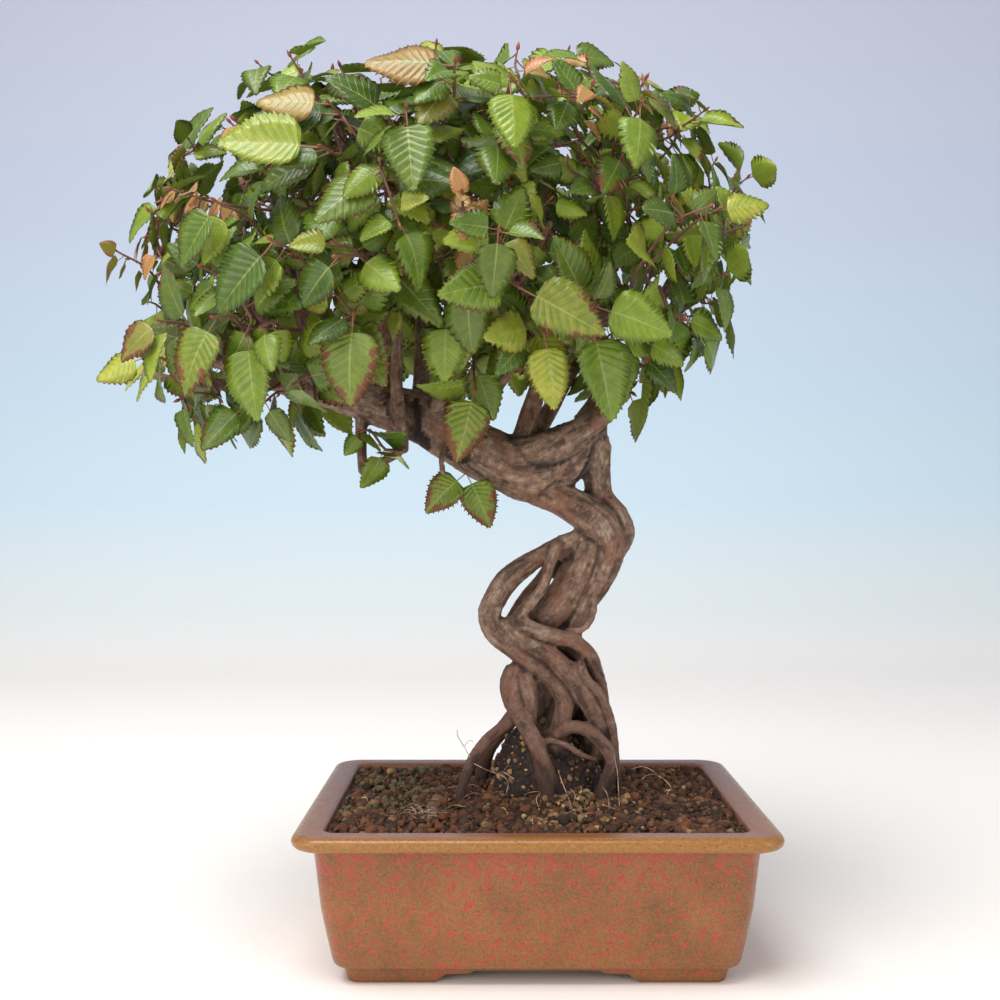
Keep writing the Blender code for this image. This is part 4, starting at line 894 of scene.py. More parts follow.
def join(parts):
    """Several lists of corners and faces as one."""
    spots, faces = [], []
    for some, rims in parts:
        first = sum(len(each) for each in spots)
        spots.append(np.asarray(some, float))
        faces += [tuple(int(i) + first for i in rim) for rim in rims]
    return np.vstack(spots), faces


strands = [smooth_strand(points) for points in
           (TRUNK, ROLLED_FOLD, *ROOT_STRANDS.values(), *LIMBS.values(), *STUBS.values())]
tubes = [strand_tube(rows, 20, 0.09 if rows[:, 3].max() > 4.5 else 0.05, number)
         for number, rows in enumerate(strands)]
wood = make_piece("roots_and_trunk_skin", *join([crown_skin(), *tubes]))
melt = wood.modifiers.new("melt together", "REMESH")
melt.mode = "VOXEL"
melt.voxel_size = GRID * MM
soften = wood.modifiers.new("soften", "SMOOTH")
soften.factor = 0.5
soften.iterations = 3
frozen(wood)
print("skin of the wood", triangles(wood), "triangles")

# %% [markdown]
# Bark cracks run along the growth, never across it. So each corner of the skin finds the strand
# it belongs to and keeps its place there: two ways across and one along. Noise read in that place
# and stretched along the strand lifts ridges and sinks cracks, and the finish reads it again.

# %% Ridges along the growth
def strand_guide():
    """Every strand's steps: centre, radius, directions and distance along, with a search tree."""
    rows, ways, runs = [], [], []
    for number, strand in enumerate(strands):
        _, one, other = strand_frames(strand)
        rows.append(strand)
        ways.append(np.hstack([one, other]))
        runs.append(run_along(strand) * 0.15 + number * 37.0)
    rows, ways, runs = np.vstack(rows), np.vstack(ways), np.concatenate(runs)
    tree = KDTree(len(rows))
    for number, row in enumerate(rows):
        tree.insert(row[:3], number)
    tree.balance()
    return rows, ways, runs, tree


def place_on_strand(spot, guide):
    """Across, across and along for a corner, its strand's radius and how far it lies off it."""
    rows, ways, runs, tree = guide
    _, number, far = min(tree.find_n(spot, 10), key=lambda found: found[2] - rows[found[1], 3])
    offset = np.array(spot) - rows[number, :3]
    radius = rows[number, 3]
    return offset @ ways[number, :3], offset @ ways[number, 3:], runs[number], radius, far - radius


def hollows(mesh, normals):
    """How hollow each corner lies among its neighbours, a little smoothed, from 0 to 1."""
    spots = np.zeros(len(mesh.vertices) * 3)
    mesh.vertices.foreach_get("co", spots)
    ends = np.zeros(len(mesh.edges) * 2, int)
    mesh.edges.foreach_get("vertices", ends)
    one, other = ends.reshape(-1, 2).T
    count = len(mesh.vertices)
    neighbours = np.bincount(one, minlength=count) + np.bincount(other, minlength=count)

    def around(row):
        return (np.bincount(one, row[other], count) + np.bincount(other, row[one], count)) / neighbours

    spots = spots.reshape(-1, 3) / MM
    bend = sum((around(spots[:, axis]) - spots[:, axis]) * normals[:, axis] for axis in range(3))
    for _ in range(3):
        bend = (bend + around(bend)) / 2
    return np.clip((bend - 0.01) / 0.12, 0, 1)


def raise_bark(piece):
    guide = strand_guide()
    mesh = piece.data
    normals = np.zeros(len(mesh.vertices) * 3)
    mesh.vertex_normals.foreach_get("vector", normals)
    normals = normals.reshape(-1, 3)
    # How hollow each corner lies, kept to paint shade into the folds between strands.
    fold_shades = hollows(mesh, normals)
    places, ridges, depths = [], [], []
    for spot, normal in zip(mesh.vertices, normals):
        home = (spot.co - HOME) / MM
        a, b, run, radius, off = place_on_strand(home, guide)
        broad = noise.fractal(Vector((a * 0.22, b * 0.22, run * 0.5)), 1.0, 2.0, 4)
        fine = noise.ridged_multi_fractal(Vector((a * 0.7, b * 0.7, run * 1.3)), 0.9, 2.1, 4, 0.9, 1.8)
        strong = min(1.0, radius / 6.0)
        rise = strong * (0.55 * broad + 0.22 * (fine - 1.2))
        places.append((a, b, run))
        ridges.append(broad * 0.5 + fine * 0.25)
        depths.append(min(1.0, max(0.0, (off - 1.0) / 2.5)))
        spot.co += Vector(normal) * rise * MM
    remember(mesh, {"bark_place": places, "bark_ridge": ridges, "bark_deep": depths, "bark_fold": fold_shades})
    mesh.shade_smooth()


raise_bark(wood)
print("bark raised on", len(wood.data.vertices), "corners")

# %% [markdown]
# Old hornbeam bark is grey-brown with worn pale ridges, reddish patches and dark cracks, and the
# roots near the soil are darker and purplish. The ridges' paleness is partly wear and partly a painted
# highlight on the raised relief, and the cracks are darkened with painted shade. The streaks follow
# the places stored above, the folds between strands get painted shade, and what lies off every
# strand is painted as dark earth, near black partly as painted shade among the roots.

# %% Bark
def bark_finish():
    made, tree, shader = new_finish("grey_brown_bark", 0.78)
    place, _, _, _ = stored(tree, "bark_place")
    _, ridge, _, _ = stored(tree, "bark_ridge")
    _, deep, _, _ = stored(tree, "bark_deep")
    where, (_, _, height) = in_millimetres(tree)
    streaks = clouds(tree, place, 0.5, 6.0, 0.62)
    patches = clouds(tree, where, 0.05, 3.0, 0.55)
    grain = clouds(tree, place, 1.9, 4.0, 0.7)
    mottle = clouds(tree, where, 0.3, 5.0, 0.65)
    colour = colours(
        tree, plus(tree, times(tree, streaks, 0.4), times(tree, mottle, 0.6)),
        (0.34, from_screen(78, 55, 45)), (0.46, from_screen(114, 88, 73)),
        (0.56, from_screen(144, 119, 101)), (0.68, from_screen(184, 164, 142)),
    )
    colour = blend(tree, fade(tree, patches, 0.44, 0.62, 0.0, 0.6), colour, from_screen(124, 80, 60))
    # The raised ridges are painted paler: partly the bark's own wear, partly a painted highlight on the
    # relief.
    worn_and_highlit = times(tree, fade(tree, ridge, 0.3, 0.62), fade(tree, grain, 0.4, 0.6))
    colour = blend(tree, times(tree, worn_and_highlit, 0.5), colour, from_screen(188, 172, 154))
    colour = blend(tree, fade(tree, height, 175.0, 90.0, 0.0, 0.6), colour, from_screen(104, 70, 58))
    colour = blend(tree, fade(tree, height, 92.0, 74.0, 0.0, 0.75), colour, from_screen(50, 30, 28))
    # Painted shade: where the bark's relief sinks into cracks, the colour goes near black.
    crack_shade = fade(tree, ridge, 0.12, -0.08)
    colour = blend(tree, times(tree, crack_shade, 0.6), colour, from_screen(38, 27, 24))
    # Painted shade: the folds between strands, where the skin lies hollow, are darkened to near black.
    _, fold, _, _ = stored(tree, "bark_fold")
    fold_shade = times(tree, fade(tree, fold, 0.05, 0.8), 0.85)
    colour = blend(tree, fold_shade, colour, from_screen(34, 23, 20))
    # What lies off every strand, the root ball and the webs between strands, is painted as dark earth, down
    # to near black as painted shade deep among the roots.
    clods = fade(tree, clouds(tree, where, 0.9, 4.0, 0.6), 0.4, 0.65)
    earth_and_shade = blend(tree, clods, from_screen(20, 13, 11), from_screen(52, 36, 28))
    colour = blend(tree, deep, colour, earth_and_shade)
    tree.links.new(colour, shader.inputs["Base Color"])
    bumps = plus(tree, streaks, times(tree, grain, 0.5))
    relief(tree, shader, bumps, 0.0006, 0.85)
    return made


bark = bark_finish()
hand_over(wood, "grey_brown_bark", bark, "roots_trunk_and_limbs")

# %% [markdown]
# Between the roots sits a mass of earth, painted dark partly as the shade among the roots, with
# small grains stuck to it, and tan grains have washed together at its foot. They are lumps like those
# of the soil, set on corners of the skin that lie well off every strand.

# %% Grains on the root ball
BALL_HEIGHTS = (66, 114)
BALL_FRONT = 12
BALL_GRAINS = 330
PILE_PLACE, PILE_REACH, PILE_HEIGHT = (23, -23), 11, 9.5
PILE_GRAINS = 150


def brown_or_tan(tan_share, draw):
    return TAN_COLOURS[draw.integers(4)] if draw.random() < tan_share else GRAIN_COLOURS[draw.integers(8)]


def grains_on_roots():
    """Places, sizes and colours of grains stuck to the root ball and piled at its foot."""
    draw = np.random.default_rng(8)
    mesh = wood.data
    deep = np.zeros(len(mesh.vertices))
    mesh.attributes["bark_deep"].data.foreach_get("value", deep)
    places = np.array([(spot.co - HOME) / MM for spot in mesh.vertices])
    x, y, height = places.T
    low, high = BALL_HEIGHTS
    chosen = np.flatnonzero((deep > 0.45) & (y < BALL_FRONT) & (height > low) & (height < high))
    chosen = draw.choice(chosen, min(BALL_GRAINS, len(chosen)), replace=False)
    sizes = 0.5 + 1.7 * draw.random(len(chosen)) ** 2.2
    tones = [brown_or_tan(0.4, draw) for _ in chosen]
    spots = list(places[chosen])
    sizes = list(sizes)
    for _ in range(PILE_GRAINS):
        away, turn = PILE_REACH * math.sqrt(draw.random()), draw.uniform(0, 6.28)
        x, y = PILE_PLACE[0] + away * math.cos(turn), PILE_PLACE[1] + 0.7 * away * math.sin(turn)
        rise = draw.uniform(0, PILE_HEIGHT) * (1 - away / PILE_REACH)
        spots.append((x, y, land_height(x, y) + rise))
        sizes.append(draw.uniform(0.8, 1.9))
        tones.append(brown_or_tan(0.55, draw))
    return spots, sizes, tones


root_grains = heap("grains_on_the_roots", *grains_on_roots(), 2, 9)
hand_over(root_grains, "akadama_soil", grain_finish)
print("grains on the roots", triangles(root_grains), "triangles")

# %% [markdown]
# Fine pale hair roots hang and curl at the base. Each is a thin tube through a few points, told
# by where the front view shows them and how deep they lie; a tangle of short ones lies on the
# soil at the left, and loose ones wander over the rest.

# %% Hair roots
HAIR_ROOTS = (
    (0.3, (470, 757, -28), (464, 746, -27), (458, 736, -26), (457, 729, -25)),
    (0.22, (464, 746, -27), (469, 740, -26), (473, 741, -26)),
    (0.34, (474, 763, -36), (486, 769, -37), (497, 773, -38), (505, 777, -38), (508, 784, -39),
     (506, 793, -40)),
    (0.26, (497, 773, -38), (503, 771, -39), (510, 776, -39), (514, 778, -40)),
    (0.36, (558, 770, -37), (562, 782, -38), (568, 797, -40), (571, 808, -42)),
    (0.3, (570, 788, -40), (575, 795, -41), (572, 806, -42)),
    (0.34, (602, 786, -33), (607, 794, -35), (609, 808, -38)),
    (0.34, (614, 756, -22), (617, 772, -26), (618, 790, -30), (619, 806, -34)),
    (0.32, (641, 779, -22), (648, 774, -22), (658, 775, -23), (668, 783, -25), (672, 790, -27)),
    (0.3, (632, 768, -18), (642, 766, -18), (652, 770, -19), (660, 778, -20)),
    (0.3, (540, 792, -44), (536, 798, -45), (538, 806, -46)),
)


def seen_at(x, y, depth):
    """The place at a depth that the front view shows at a pixel."""
    away = (depth - EYE.y) / -EYE.y
    across = (x - PICTURE_MIDDLE[0]) / PICTURE_SCALE - EYE.x
    height = (PICTURE_MIDDLE[1] - y) / PICTURE_SCALE
    return across * away + EYE.x, depth, height * away + EYE.z


def hair_root_tubes():
    draw = np.random.default_rng(12)
    tubes = []
    for radius, *points in HAIR_ROOTS:
        rows = [(*seen_at(*point), radius * 0.6) for point in points]
        tubes.append(strand_tube(smooth_strand(rows, 1.2), 5))
    for number in range(60):
        if number < 22:
            x, y = draw.normal(-50, 4.5), draw.normal(-36, 4.5)
        else:
            turn, away = draw.uniform(0, 6.28), draw.uniform(24, 60)
            x, y = 9 + away * math.cos(turn), 2 + 0.8 * away * math.sin(turn)
        x, y = np.clip(x, -82, 84), np.clip(y, -60, 60)
        way, rows = draw.uniform(0, 6.28), []
        height = draw.uniform(0.6, 2.6)
        for step in range(6):
            level = land_height(x, y) + 1.4 + height * math.sin(step * 0.63)
            rows.append((x, y, level, 0.17 - 0.012 * step))
            way += draw.uniform(-0.9, 0.9)
            x, y = x + 2.2 * math.cos(way), y + 2.2 * math.sin(way)
        tubes.append(strand_tube(smooth_strand(rows, 1.2), 5))
    return join(tubes)


def hair_finish():
    made, tree, shader = new_finish("pale_hair_root", 0.8)
    where, _ = in_millimetres(tree)
    pale = fade(tree, clouds(tree, where, 0.3), 0.4, 0.6)
    tint = blend(tree, pale, from_screen(128, 92, 74), from_screen(190, 160, 136))
    tree.links.new(tint, shader.inputs["Base Color"])
    return made


hair = make_piece("hair_roots", *hair_root_tubes())
hand_over(hair, "grey_brown_bark", hair_finish())
print("hair roots", triangles(hair), "triangles")


# %% [markdown]
# The crown was grown by rule, and the same rule with the same seed has to run here, so that every
# fine leaf stands where its solid leaf does. The front of the photograph fixes an outline, some
# leaves and the copper tips. Everything else spreads evenly over a rounded crown behind it.

# %% Outline of the crown and marked leaves

GAP = 0.3

# Canopy: what the front view shows is told as an outline in polar steps round a centre
CANOPY_CENTRE = Vector((-46.0, 0.0, 318.0))
CANOPY_DEPTH = 128.0
CANOPY_OUTLINE = (
    (-40, 113), (-25, 124), (-4, 155), (12, 166), (30, 151), (42, 140), (61, 119), (87, 116),
    (111, 120), (134, 127), (163, 141), (184, 155), (197, 165), (216, 140), (239, 98), (270, 70),
    (295, 84),
)
LOWEST_DIRECTION = -0.42
LATTICE = 50
SPREAD_REACH = (0.87, 0.96)
CLEAR_OF_FRONT = 30.0
PLACES_TRIED = 110
MOST_SHOOTS = 55
CLOSEST_STARTS = 4.5
ROOMY = 12.0
SHORT_SHOOT = 24.0
SHARP_COST = 40
CROWD_COST = 2
SHORT_COST = 6
SEED = 7

# Leaves and shoots
LEAF_BUDGET = 272
FRONT_LEAVES_EACH = 5
YOUNG_LEAVES_EACH = 5
MOST_LEAVES = 7
LEAF_SPACING = 8.0
YOUNG_SPACING = 4.4
LEAF_LENGTH = (21.0, 29.0)
LONGEST_LEAF = 34.0
LONG_LEAF = 24.0
YOUNG_LENGTH = (9.0, 14.0)
THICKEST_WITH_SHOOTS = 4.3
RIB_MIDDLE = 0.48
PETIOLE = 0.26
LIE_FLAT = 0.8
END_DROOP = 0.35
TOOTH_OUT = 1.09
TOOTH_IN = 0.86
LEAF_OFF_WOOD = 1.3
TWIG_OFF_WOOD = 2.4
LEAVES_ABOVE = 190.0
TRIES = 14
CELL = 1.8

# Blade shapes: half width, droop towards the tip and fold along the rib, as shares of length
BLADES = ((0.40, 0.16, 0.22), (0.37, 0.06, 0.30), (0.43, 0.26, 0.10), (0.39, 0.12, -0.12))

# The picture's scale and middle at the trunk, for places read off the front view
EYE_HEIGHT = 207.0
SIGHT_START = 0.74
SIGHT_STEP = 0.002
SIGHT_STEPS = 140

# Leaves that mark the front view: the pixel where the blade starts and the pixel of its tip
FRONT_LEAVES = (
    ((408, 125), (415, 189)), ((384, 179), (401, 245)), ((512, 92), (519, 141)),
    ((497, 243), (490, 299)), ((537, 298), (607, 336)), ((612, 312), (676, 334)),
    ((641, 116), (640, 162)), ((472, 404), (459, 466)), ((249, 353), (259, 425)),
    ((251, 338), (211, 378)), ((207, 333), (177, 393)), ((328, 268), (297, 309)),
    ((259, 255), (212, 309)), ((352, 333), (346, 406)), ((549, 350), (561, 411)),
    ((598, 342), (619, 431)), ((729, 208), (772, 202)), ((133, 361), (92, 379)),
    ((299, 146), (214, 141)), ((313, 101), (252, 93)), ((436, 62), (363, 57)),
    ((207, 215), (174, 266)), ((712, 222), (724, 277)), ((744, 240), (741, 291)),
    ((450, 462), (428, 493)), ((655, 345), (690, 362)), ((182, 410), (190, 449)),
    ((235, 415), (199, 452)), ((268, 412), (286, 445)), ((158, 395), (134, 423)),
    ((356, 437), (341, 456)), ((150, 328), (113, 356)), ((300, 391), (318, 416)),
)

# Young copper shoots of the front view, by the pixel of their tips
FRONT_SHOOTS = ((462, 193), (236, 121), (592, 86), (645, 80), (172, 190), (118, 252))

# More young shoots behind, as directions from the canopy's centre
BACK_SHOOTS = ((0.4, 0.5, 0.75), (-0.6, 0.55, 0.5))


# %% [markdown]
# A place in the crown is told from its centre: a direction, and a share of the way out to the
# outline. A pixel of the front view is a line of sight, and the place is where it enters.

# %% Places in the crown

def canopy_radius(direction):
    """How far the foliage reaches from the canopy's centre in a direction."""
    flat = math.hypot(direction.x, direction.z)
    angle = math.degrees(math.atan2(direction.z, direction.x))
    turns = [turn for turn, _ in CANOPY_OUTLINE] + [CANOPY_OUTLINE[0][0] + 360]
    reaches = [reach for _, reach in CANOPY_OUTLINE] + [CANOPY_OUTLINE[0][1]]
    if angle < turns[0]:
        angle += 360
    reach = np.interp(angle, turns, reaches)
    return 1 / math.sqrt((flat / reach) ** 2 + (direction.y / CANOPY_DEPTH) ** 2)


def shell_point(direction, share=1.0):
    direction = direction.normalized()
    return CANOPY_CENTRE + direction * canopy_radius(direction) * share


def line_of_sight(pixel):
    """From the eye to the trunk's plane through a pixel of the front view."""
    return Vector((
        (pixel[0] - PICTURE_MIDDLE[0]) / PICTURE_SCALE,
        0.0,
        EYE_HEIGHT + (PICTURE_MIDDLE[1] - pixel[1]) / PICTURE_SCALE,
    )) - EYE


def on_sight(pixel, depth):
    """The point at a given y that a pixel of the front view shows."""
    sight = line_of_sight(pixel)
    return EYE + sight * ((depth - EYE.y) / sight.y)


def in_front(pixel, share=0.97):
    """Where the line of sight through a pixel of the front view meets the canopy's front."""
    sight = line_of_sight(pixel)
    nearest = None
    for step in range(SIGHT_STEPS):
        point = EYE + sight * (SIGHT_START + step * SIGHT_STEP)
        spoke = point - CANOPY_CENTRE
        depth = spoke.length / canopy_radius(spoke.normalized())
        if nearest is None or depth < nearest[0]:
            nearest = (depth, point)
        if depth <= share:
            return point
    return nearest[1]


# %% [markdown]
# Nothing may grow through anything else. Wood counts as round strands, so the distance to it is
# plain geometry. Leaves and twigs claim the cells of a fine grid that they pass through.

# %% Keeping clear of wood and of each other

def wood_segments():
    """Every strand above the soil as start, end and the two radii, for keeping leaves off it."""
    rows = []
    for points in (TRUNK, ROLLED_FOLD, *ROOT_STRANDS.values(), *LIMBS.values(), *STUBS.values()):
        rows.extend((*a, *b) for a, b in zip(points, points[1:]) if max(a[2], b[2]) > LEAVES_ABOVE)
    return np.array(rows)


def wood_clearance(points, segments):
    """The distance from each point to the nearest wood, taken as round strands."""
    start = segments[:, :3]
    along = segments[:, 4:7] - start
    offset = points[:, None, :] - start[None]
    share = (offset * along).sum(2) / (along * along).sum(1)
    share = np.clip(share, 0, 1)
    gap = np.linalg.norm(offset - share[..., None] * along, axis=2)
    radius = segments[:, 3] + share * (segments[:, 7] - segments[:, 3])
    return (gap - radius).min(axis=1)


def cells_of(points):
    """The numbered cells of a fine grid that the points lie in."""
    index = np.floor(np.asarray(points) / CELL).astype(np.int64) + 1000
    return np.unique(index[:, 0] * 4000000 + index[:, 1] * 2000 + index[:, 2])


NEIGHBOURS = np.array([
    i * 4000000 + j * 2000 + k for i in (-1, 0, 1) for j in (-1, 0, 1) for k in (-1, 0, 1)
])


def with_neighbours(cells):
    return np.unique(cells[:, None] + NEIGHBOURS[None]).tolist()


# %% [markdown]
# The solid's leaf is a simple heart-shaped blade with a stalk. It is made again here only to
# know the room that each leaf needs.

# %% Shape of the solid's leaf

def half_width(share, width):
    """Half the blade's width at a share of its length: heart-shaped below, drawn to a point."""
    return width * math.sin(math.pi * share ** 0.6) ** 0.75


def blade_height(share, across, bend, fold):
    """How far the blade lifts from its flat plane: it droops to the tip and folds on its rib."""
    return -bend * share * share + fold * abs(across)


def leaf_template(teeth, width, bend, fold):
    """A leaf of unit length, stalk included: corners and triangles.

    A corner is across, along, lift and face. Both faces share the rim, and the rib has an upper
    and a lower corner at each step, so the leaf is thick along its rib and thin at its cut edge."""
    rim = [(-PETIOLE, 0.024), (0.0, 0.032)]
    for step in range(2 * teeth - 1):
        share = 0.13 + 0.62 * step / (2 * teeth - 2)
        reach = TOOTH_OUT if step % 2 == 0 else TOOTH_IN
        rim.append((share, half_width(share, width) * reach))
    corners = []
    for side in (-1, 1):
        for share, across in rim:
            lift = blade_height(max(share, 0), across, bend, fold)
            corners.append((side * across, share, lift, 0))
    tip = len(corners)
    corners.append((0, 1, blade_height(1, 0, bend, fold), 0))
    for face in (1, -1):
        corners.append((0, -PETIOLE, 0, face * 0.6))
        corners.append((0, RIB_MIDDLE, blade_height(RIB_MIDDLE, 0, bend, fold), face))
    triangles = []
    for side, first in ((-1, 0), (1, len(rim))):
        chain = list(range(first, first + len(rim))) + [tip]
        for face, stalk in ((1, tip + 1), (-1, tip + 3)):
            middle = stalk + 1
            strip = [(stalk, chain[0], chain[1]), (stalk, chain[1], middle)]
            strip += [(middle, a, b) for a, b in zip(chain[1:], chain[2:])]
            triangles += [t if side * face > 0 else t[::-1] for t in strip]
    triangles += [(0, len(rim), tip + 1), (0, tip + 3, len(rim))]
    return np.array(corners, float), triangles


def spots_on(corners, triangles, step):
    """Points all over the upper face of a leaf, no further apart than step."""
    spots = []
    for a, b, c in (corners[list(t), :3] for t in triangles if all(corners[list(t), 3] >= 0)):
        longest = max(np.linalg.norm(b - a), np.linalg.norm(c - a), np.linalg.norm(c - b))
        count = max(1, math.ceil(longest / step))
        for i in range(count + 1):
            for j in range(count + 1 - i):
                spots.append(a + (b - a) * i / count + (c - a) * j / count)
    return np.array(spots)


def leaf_kinds():
    """The leaf shapes in use, each with the points that stand for it when space is checked."""
    kinds = []
    for width, bend, fold in BLADES:
        for teeth in (2, 3):
            corners, triangles = leaf_template(teeth, width, bend, fold)
            spots = spots_on(corners, triangles, CELL * 0.44 / LONGEST_LEAF)
            kinds.append((corners, triangles, spots))
    return kinds


def leaf_frame(start, ahead, up):
    """Rows that carry across, along and lift into the plant: the stalk leaves start."""
    ahead = ahead.normalized()
    across = ahead.cross(up).normalized()
    lift = across.cross(ahead)
    return np.array([across, ahead, lift]), np.array(start)


def placed(spots, length, frame):
    rows, start = frame
    along = spots[:, :3] + np.array([0, PETIOLE, 0])
    return start + length * (along @ rows)


# %% [markdown]
# A shoot leaves its limb squarely, bends outward and ends where a leaf is wanted. Of many places
# to start from, the first that is short, outward and clear of everything is taken.

# %% Shoots

def bezier(a, b, c, d, share):
    rest = 1 - share
    return a * rest**3 + b * 3 * rest**2 * share + c * 3 * rest * share**2 + d * share**3


def limb_points():
    """Where a shoot can start: a limb's point and direction, and how far off it is clear."""
    places = []
    for points in (*LIMBS.values(), TRUNK[-6:]):
        for a, b in zip(points, points[1:]):
            start, end = Vector(a[:3]), Vector(b[:3])
            for share in (0.15, 0.5, 0.85):
                radius = a[3] + (b[3] - a[3]) * share
                if radius <= THICKEST_WITH_SHOOTS:
                    clear = radius + GAP + 0.05
                    places.append((start.lerp(end, share), (end - start).normalized(), clear))
    return places


def shoot_path(place, target, arrival):
    """A shoot that leaves its limb squarely and arrives at the target in a given direction."""
    spot, along, radius = place
    toward = target - spot
    away = (toward - along * toward.dot(along)).normalized()
    base = spot + away * radius
    reach = (target - base).length
    second = base + away * reach * 0.3
    third = bezier(base, second, target - arrival * reach * 0.35, target, 0.68)
    return [base, second, third, target]


def fork_points(shoots):
    """Where a side twig can start: a point inside a shoot and its direction, by shoot."""
    places = []
    for number, path, _, _, _ in shoots:
        for a, b in zip(path, path[1:]):
            for share in (0.3, 0.7):
                places.append((number, (a.lerp(b, share), (b - a).normalized(), 0.0)))
    return places


def path_is_free(path, segments, taken, number):
    spots = []
    for a, b in zip(path, path[1:]):
        count = max(2, math.ceil((b - a).length))
        spots.extend(a.lerp(b, step / count) for step in range(count))
    spots = np.array([tuple(spot) for spot in spots])
    from_base = np.linalg.norm(spots - spots[0], axis=1)
    wanted = np.minimum(GAP + 0.55 * from_base, TWIG_OFF_WOOD)
    if (wood_clearance(spots, segments) < wanted).any():
        return None
    cells = with_neighbours(cells_of(spots))
    if any(taken.get(cell, number) != number for cell in cells):
        return None
    return cells


def min_distance(point, others):
    return min(((point - other).length for other in others), default=1000.0)


def shoot_cost(place, target, starts):
    """Short shoots that fork outward from their limb are best, and limbs share them out."""
    spot, along, radius = place
    toward = target - spot
    sharp = max(0.0, -toward.normalized().dot(along))
    crowd = max(0.0, ROOMY - min_distance(spot, starts))
    short = max(0.0, SHORT_SHOOT - toward.length)
    return toward.length + SHARP_COST * sharp + CROWD_COST * crowd + SHORT_COST * short


def spread_targets():
    """Directions spread evenly over the canopy, every second one first."""
    golden = math.pi * (3 - math.sqrt(5))
    for step in (*range(0, LATTICE, 2), *range(1, LATTICE, 2)):
        height = 1 - 2 * (step + 0.5) / LATTICE
        if height < LOWEST_DIRECTION:
            continue
        flat = math.sqrt(1 - height * height)
        yield Vector((flat * math.cos(golden * step), flat * math.sin(golden * step), height))


def shoot_wishes(draw):
    """Where shoots should end: the point, the way ahead, a settled end leaf's length and youth."""
    wishes = []
    for base, tip in FRONT_LEAVES:
        start, end = in_front(base), in_front(tip)
        if (end - start).length > LONGEST_LEAF:
            end = on_sight(tip, start.y)
        length = min((end - start).length, LONGEST_LEAF)
        ahead = (end - start).normalized()
        wishes.append((start - ahead * PETIOLE * length, ahead, length, False))
    young = [in_front(pixel, 0.96) for pixel in FRONT_SHOOTS]
    young += [shell_point(Vector(direction), 0.94) for direction in BACK_SHOOTS]
    for target in young:
        wishes.append((target, (target - CANOPY_CENTRE).normalized(), 0, True))
    settled = [wish[0] for wish in wishes]
    for direction in spread_targets():
        target = shell_point(direction, draw.uniform(*SPREAD_REACH))
        if min((target - other).length for other in settled) > CLEAR_OF_FRONT:
            wishes.append((target, direction, 0, False))
    return wishes


def plan_shoots(draw, segments):
    """Each shoot's node number, path, way ahead, settled end leaf and youth, and the space used.

    Once there are as many shoots as may stand by themselves, the rest fork from their twigs."""
    shoots = []
    taken = {}
    starts = []
    limb_places = [(None, place) for place in limb_points()]
    for target, ahead, length, young in shoot_wishes(draw):
        forks = len({shoot[0] for shoot in shoots}) >= MOST_SHOOTS
        places = fork_points(shoots) if forks else limb_places
        outward = (target - CANOPY_CENTRE).normalized()
        arrival = (outward + ahead * 0.5 + Vector((0, 0, 0.2))).normalized()
        ranked = sorted(places, key=lambda place: shoot_cost(place[1], target, starts))
        for parent, place in ranked[:PLACES_TRIED]:
            number = len(shoots) if parent is None else parent
            path = shoot_path(place, target, arrival)
            cells = path_is_free(path, segments, taken, number)
            if cells is not None and min_distance(path[0], starts) > CLOSEST_STARTS:
                taken.update((cell, number) for cell in cells)
                starts.append(path[0])
                shoots.append((number, path, ahead, length, young))
                break
        else:
            print("no way in for a shoot at", [round(v) for v in target])
    return shoots, taken


# %% [markdown]
# Leaves stand alternately to the left and right of their shoot, as hornbeam leaves do, and the
# last one follows its tip. Each is turned a little until it touches nothing.

# %% Leaves along the shoots

def point_on(path, back):
    """The point and direction on a shoot at a distance back from its tip."""
    for a, b in zip(path[::-1], path[-2::-1]):
        run = (a - b).length
        if back <= run:
            return a.lerp(b, back / run), (a - b).normalized()
        back -= run
    return None


def try_leaf(shoot, order, draw, kinds, segments, twig_cells, leaf_cells):
    """One leaf for a shoot, at the first of several turns where it touches nothing."""
    number, path, ahead, settled_length, young = shoot
    spacing = YOUNG_SPACING if young else LEAF_SPACING
    found = point_on(path, 1.5 if order == 0 else 1.0 + spacing * order)
    if found is None:
        return None
    start, along = found
    outward = (start - CANOPY_CENTRE).normalized()
    up = (outward + Vector((0, 0, 0.3))).normalized()
    flowing = along - outward * along.dot(outward) * LIE_FLAT - Vector((0, 0, END_DROOP))
    side = along.cross(up).normalized() * (1 if order % 2 else -1)
    for attempt in range(TRIES):
        loose = 0.15 + 0.07 * attempt
        wobble = Vector([draw.uniform(-1, 1) for _ in range(3)]) * loose
        if order == 0 and settled_length:
            direction = ahead + wobble * 0.25
            length = settled_length
            normal = (up + Vector((0, -0.5, 0))).normalized()
        else:
            sideways = along * 0.3 + side - Vector((0, 0, 0.3))
            direction = (sideways if order else flowing) + wobble
            limits = YOUNG_LENGTH if young else LEAF_LENGTH
            length = draw.uniform(*limits) * (0.86 if order == 0 else 1.0)
            length *= 1 - 0.02 * attempt
            normal = up + wobble * 0.6
        kind = draw.randrange(len(BLADES)) * 2 + (1 if length > LONG_LEAF else 0)
        frame = leaf_frame(start, direction, normal)
        spots = placed(kinds[kind][2], length, frame)
        cells = cells_of(spots)
        if any(cell in leaf_cells for cell in cells.tolist()):
            continue
        if any(twig_cells.get(cell, number) != number for cell in cells.tolist()):
            continue
        if (wood_clearance(spots[::5], segments) < LEAF_OFF_WOOD).any():
            continue
        leaf_cells.update(with_neighbours(cells))
        return kind, length, frame
    return None


# %% [markdown]
# Now the rule runs. Shoots are numbered, and a shoot whose number is its own place in the list
# names the solid that its leaves belong to. Twigs that fork from it share its number.

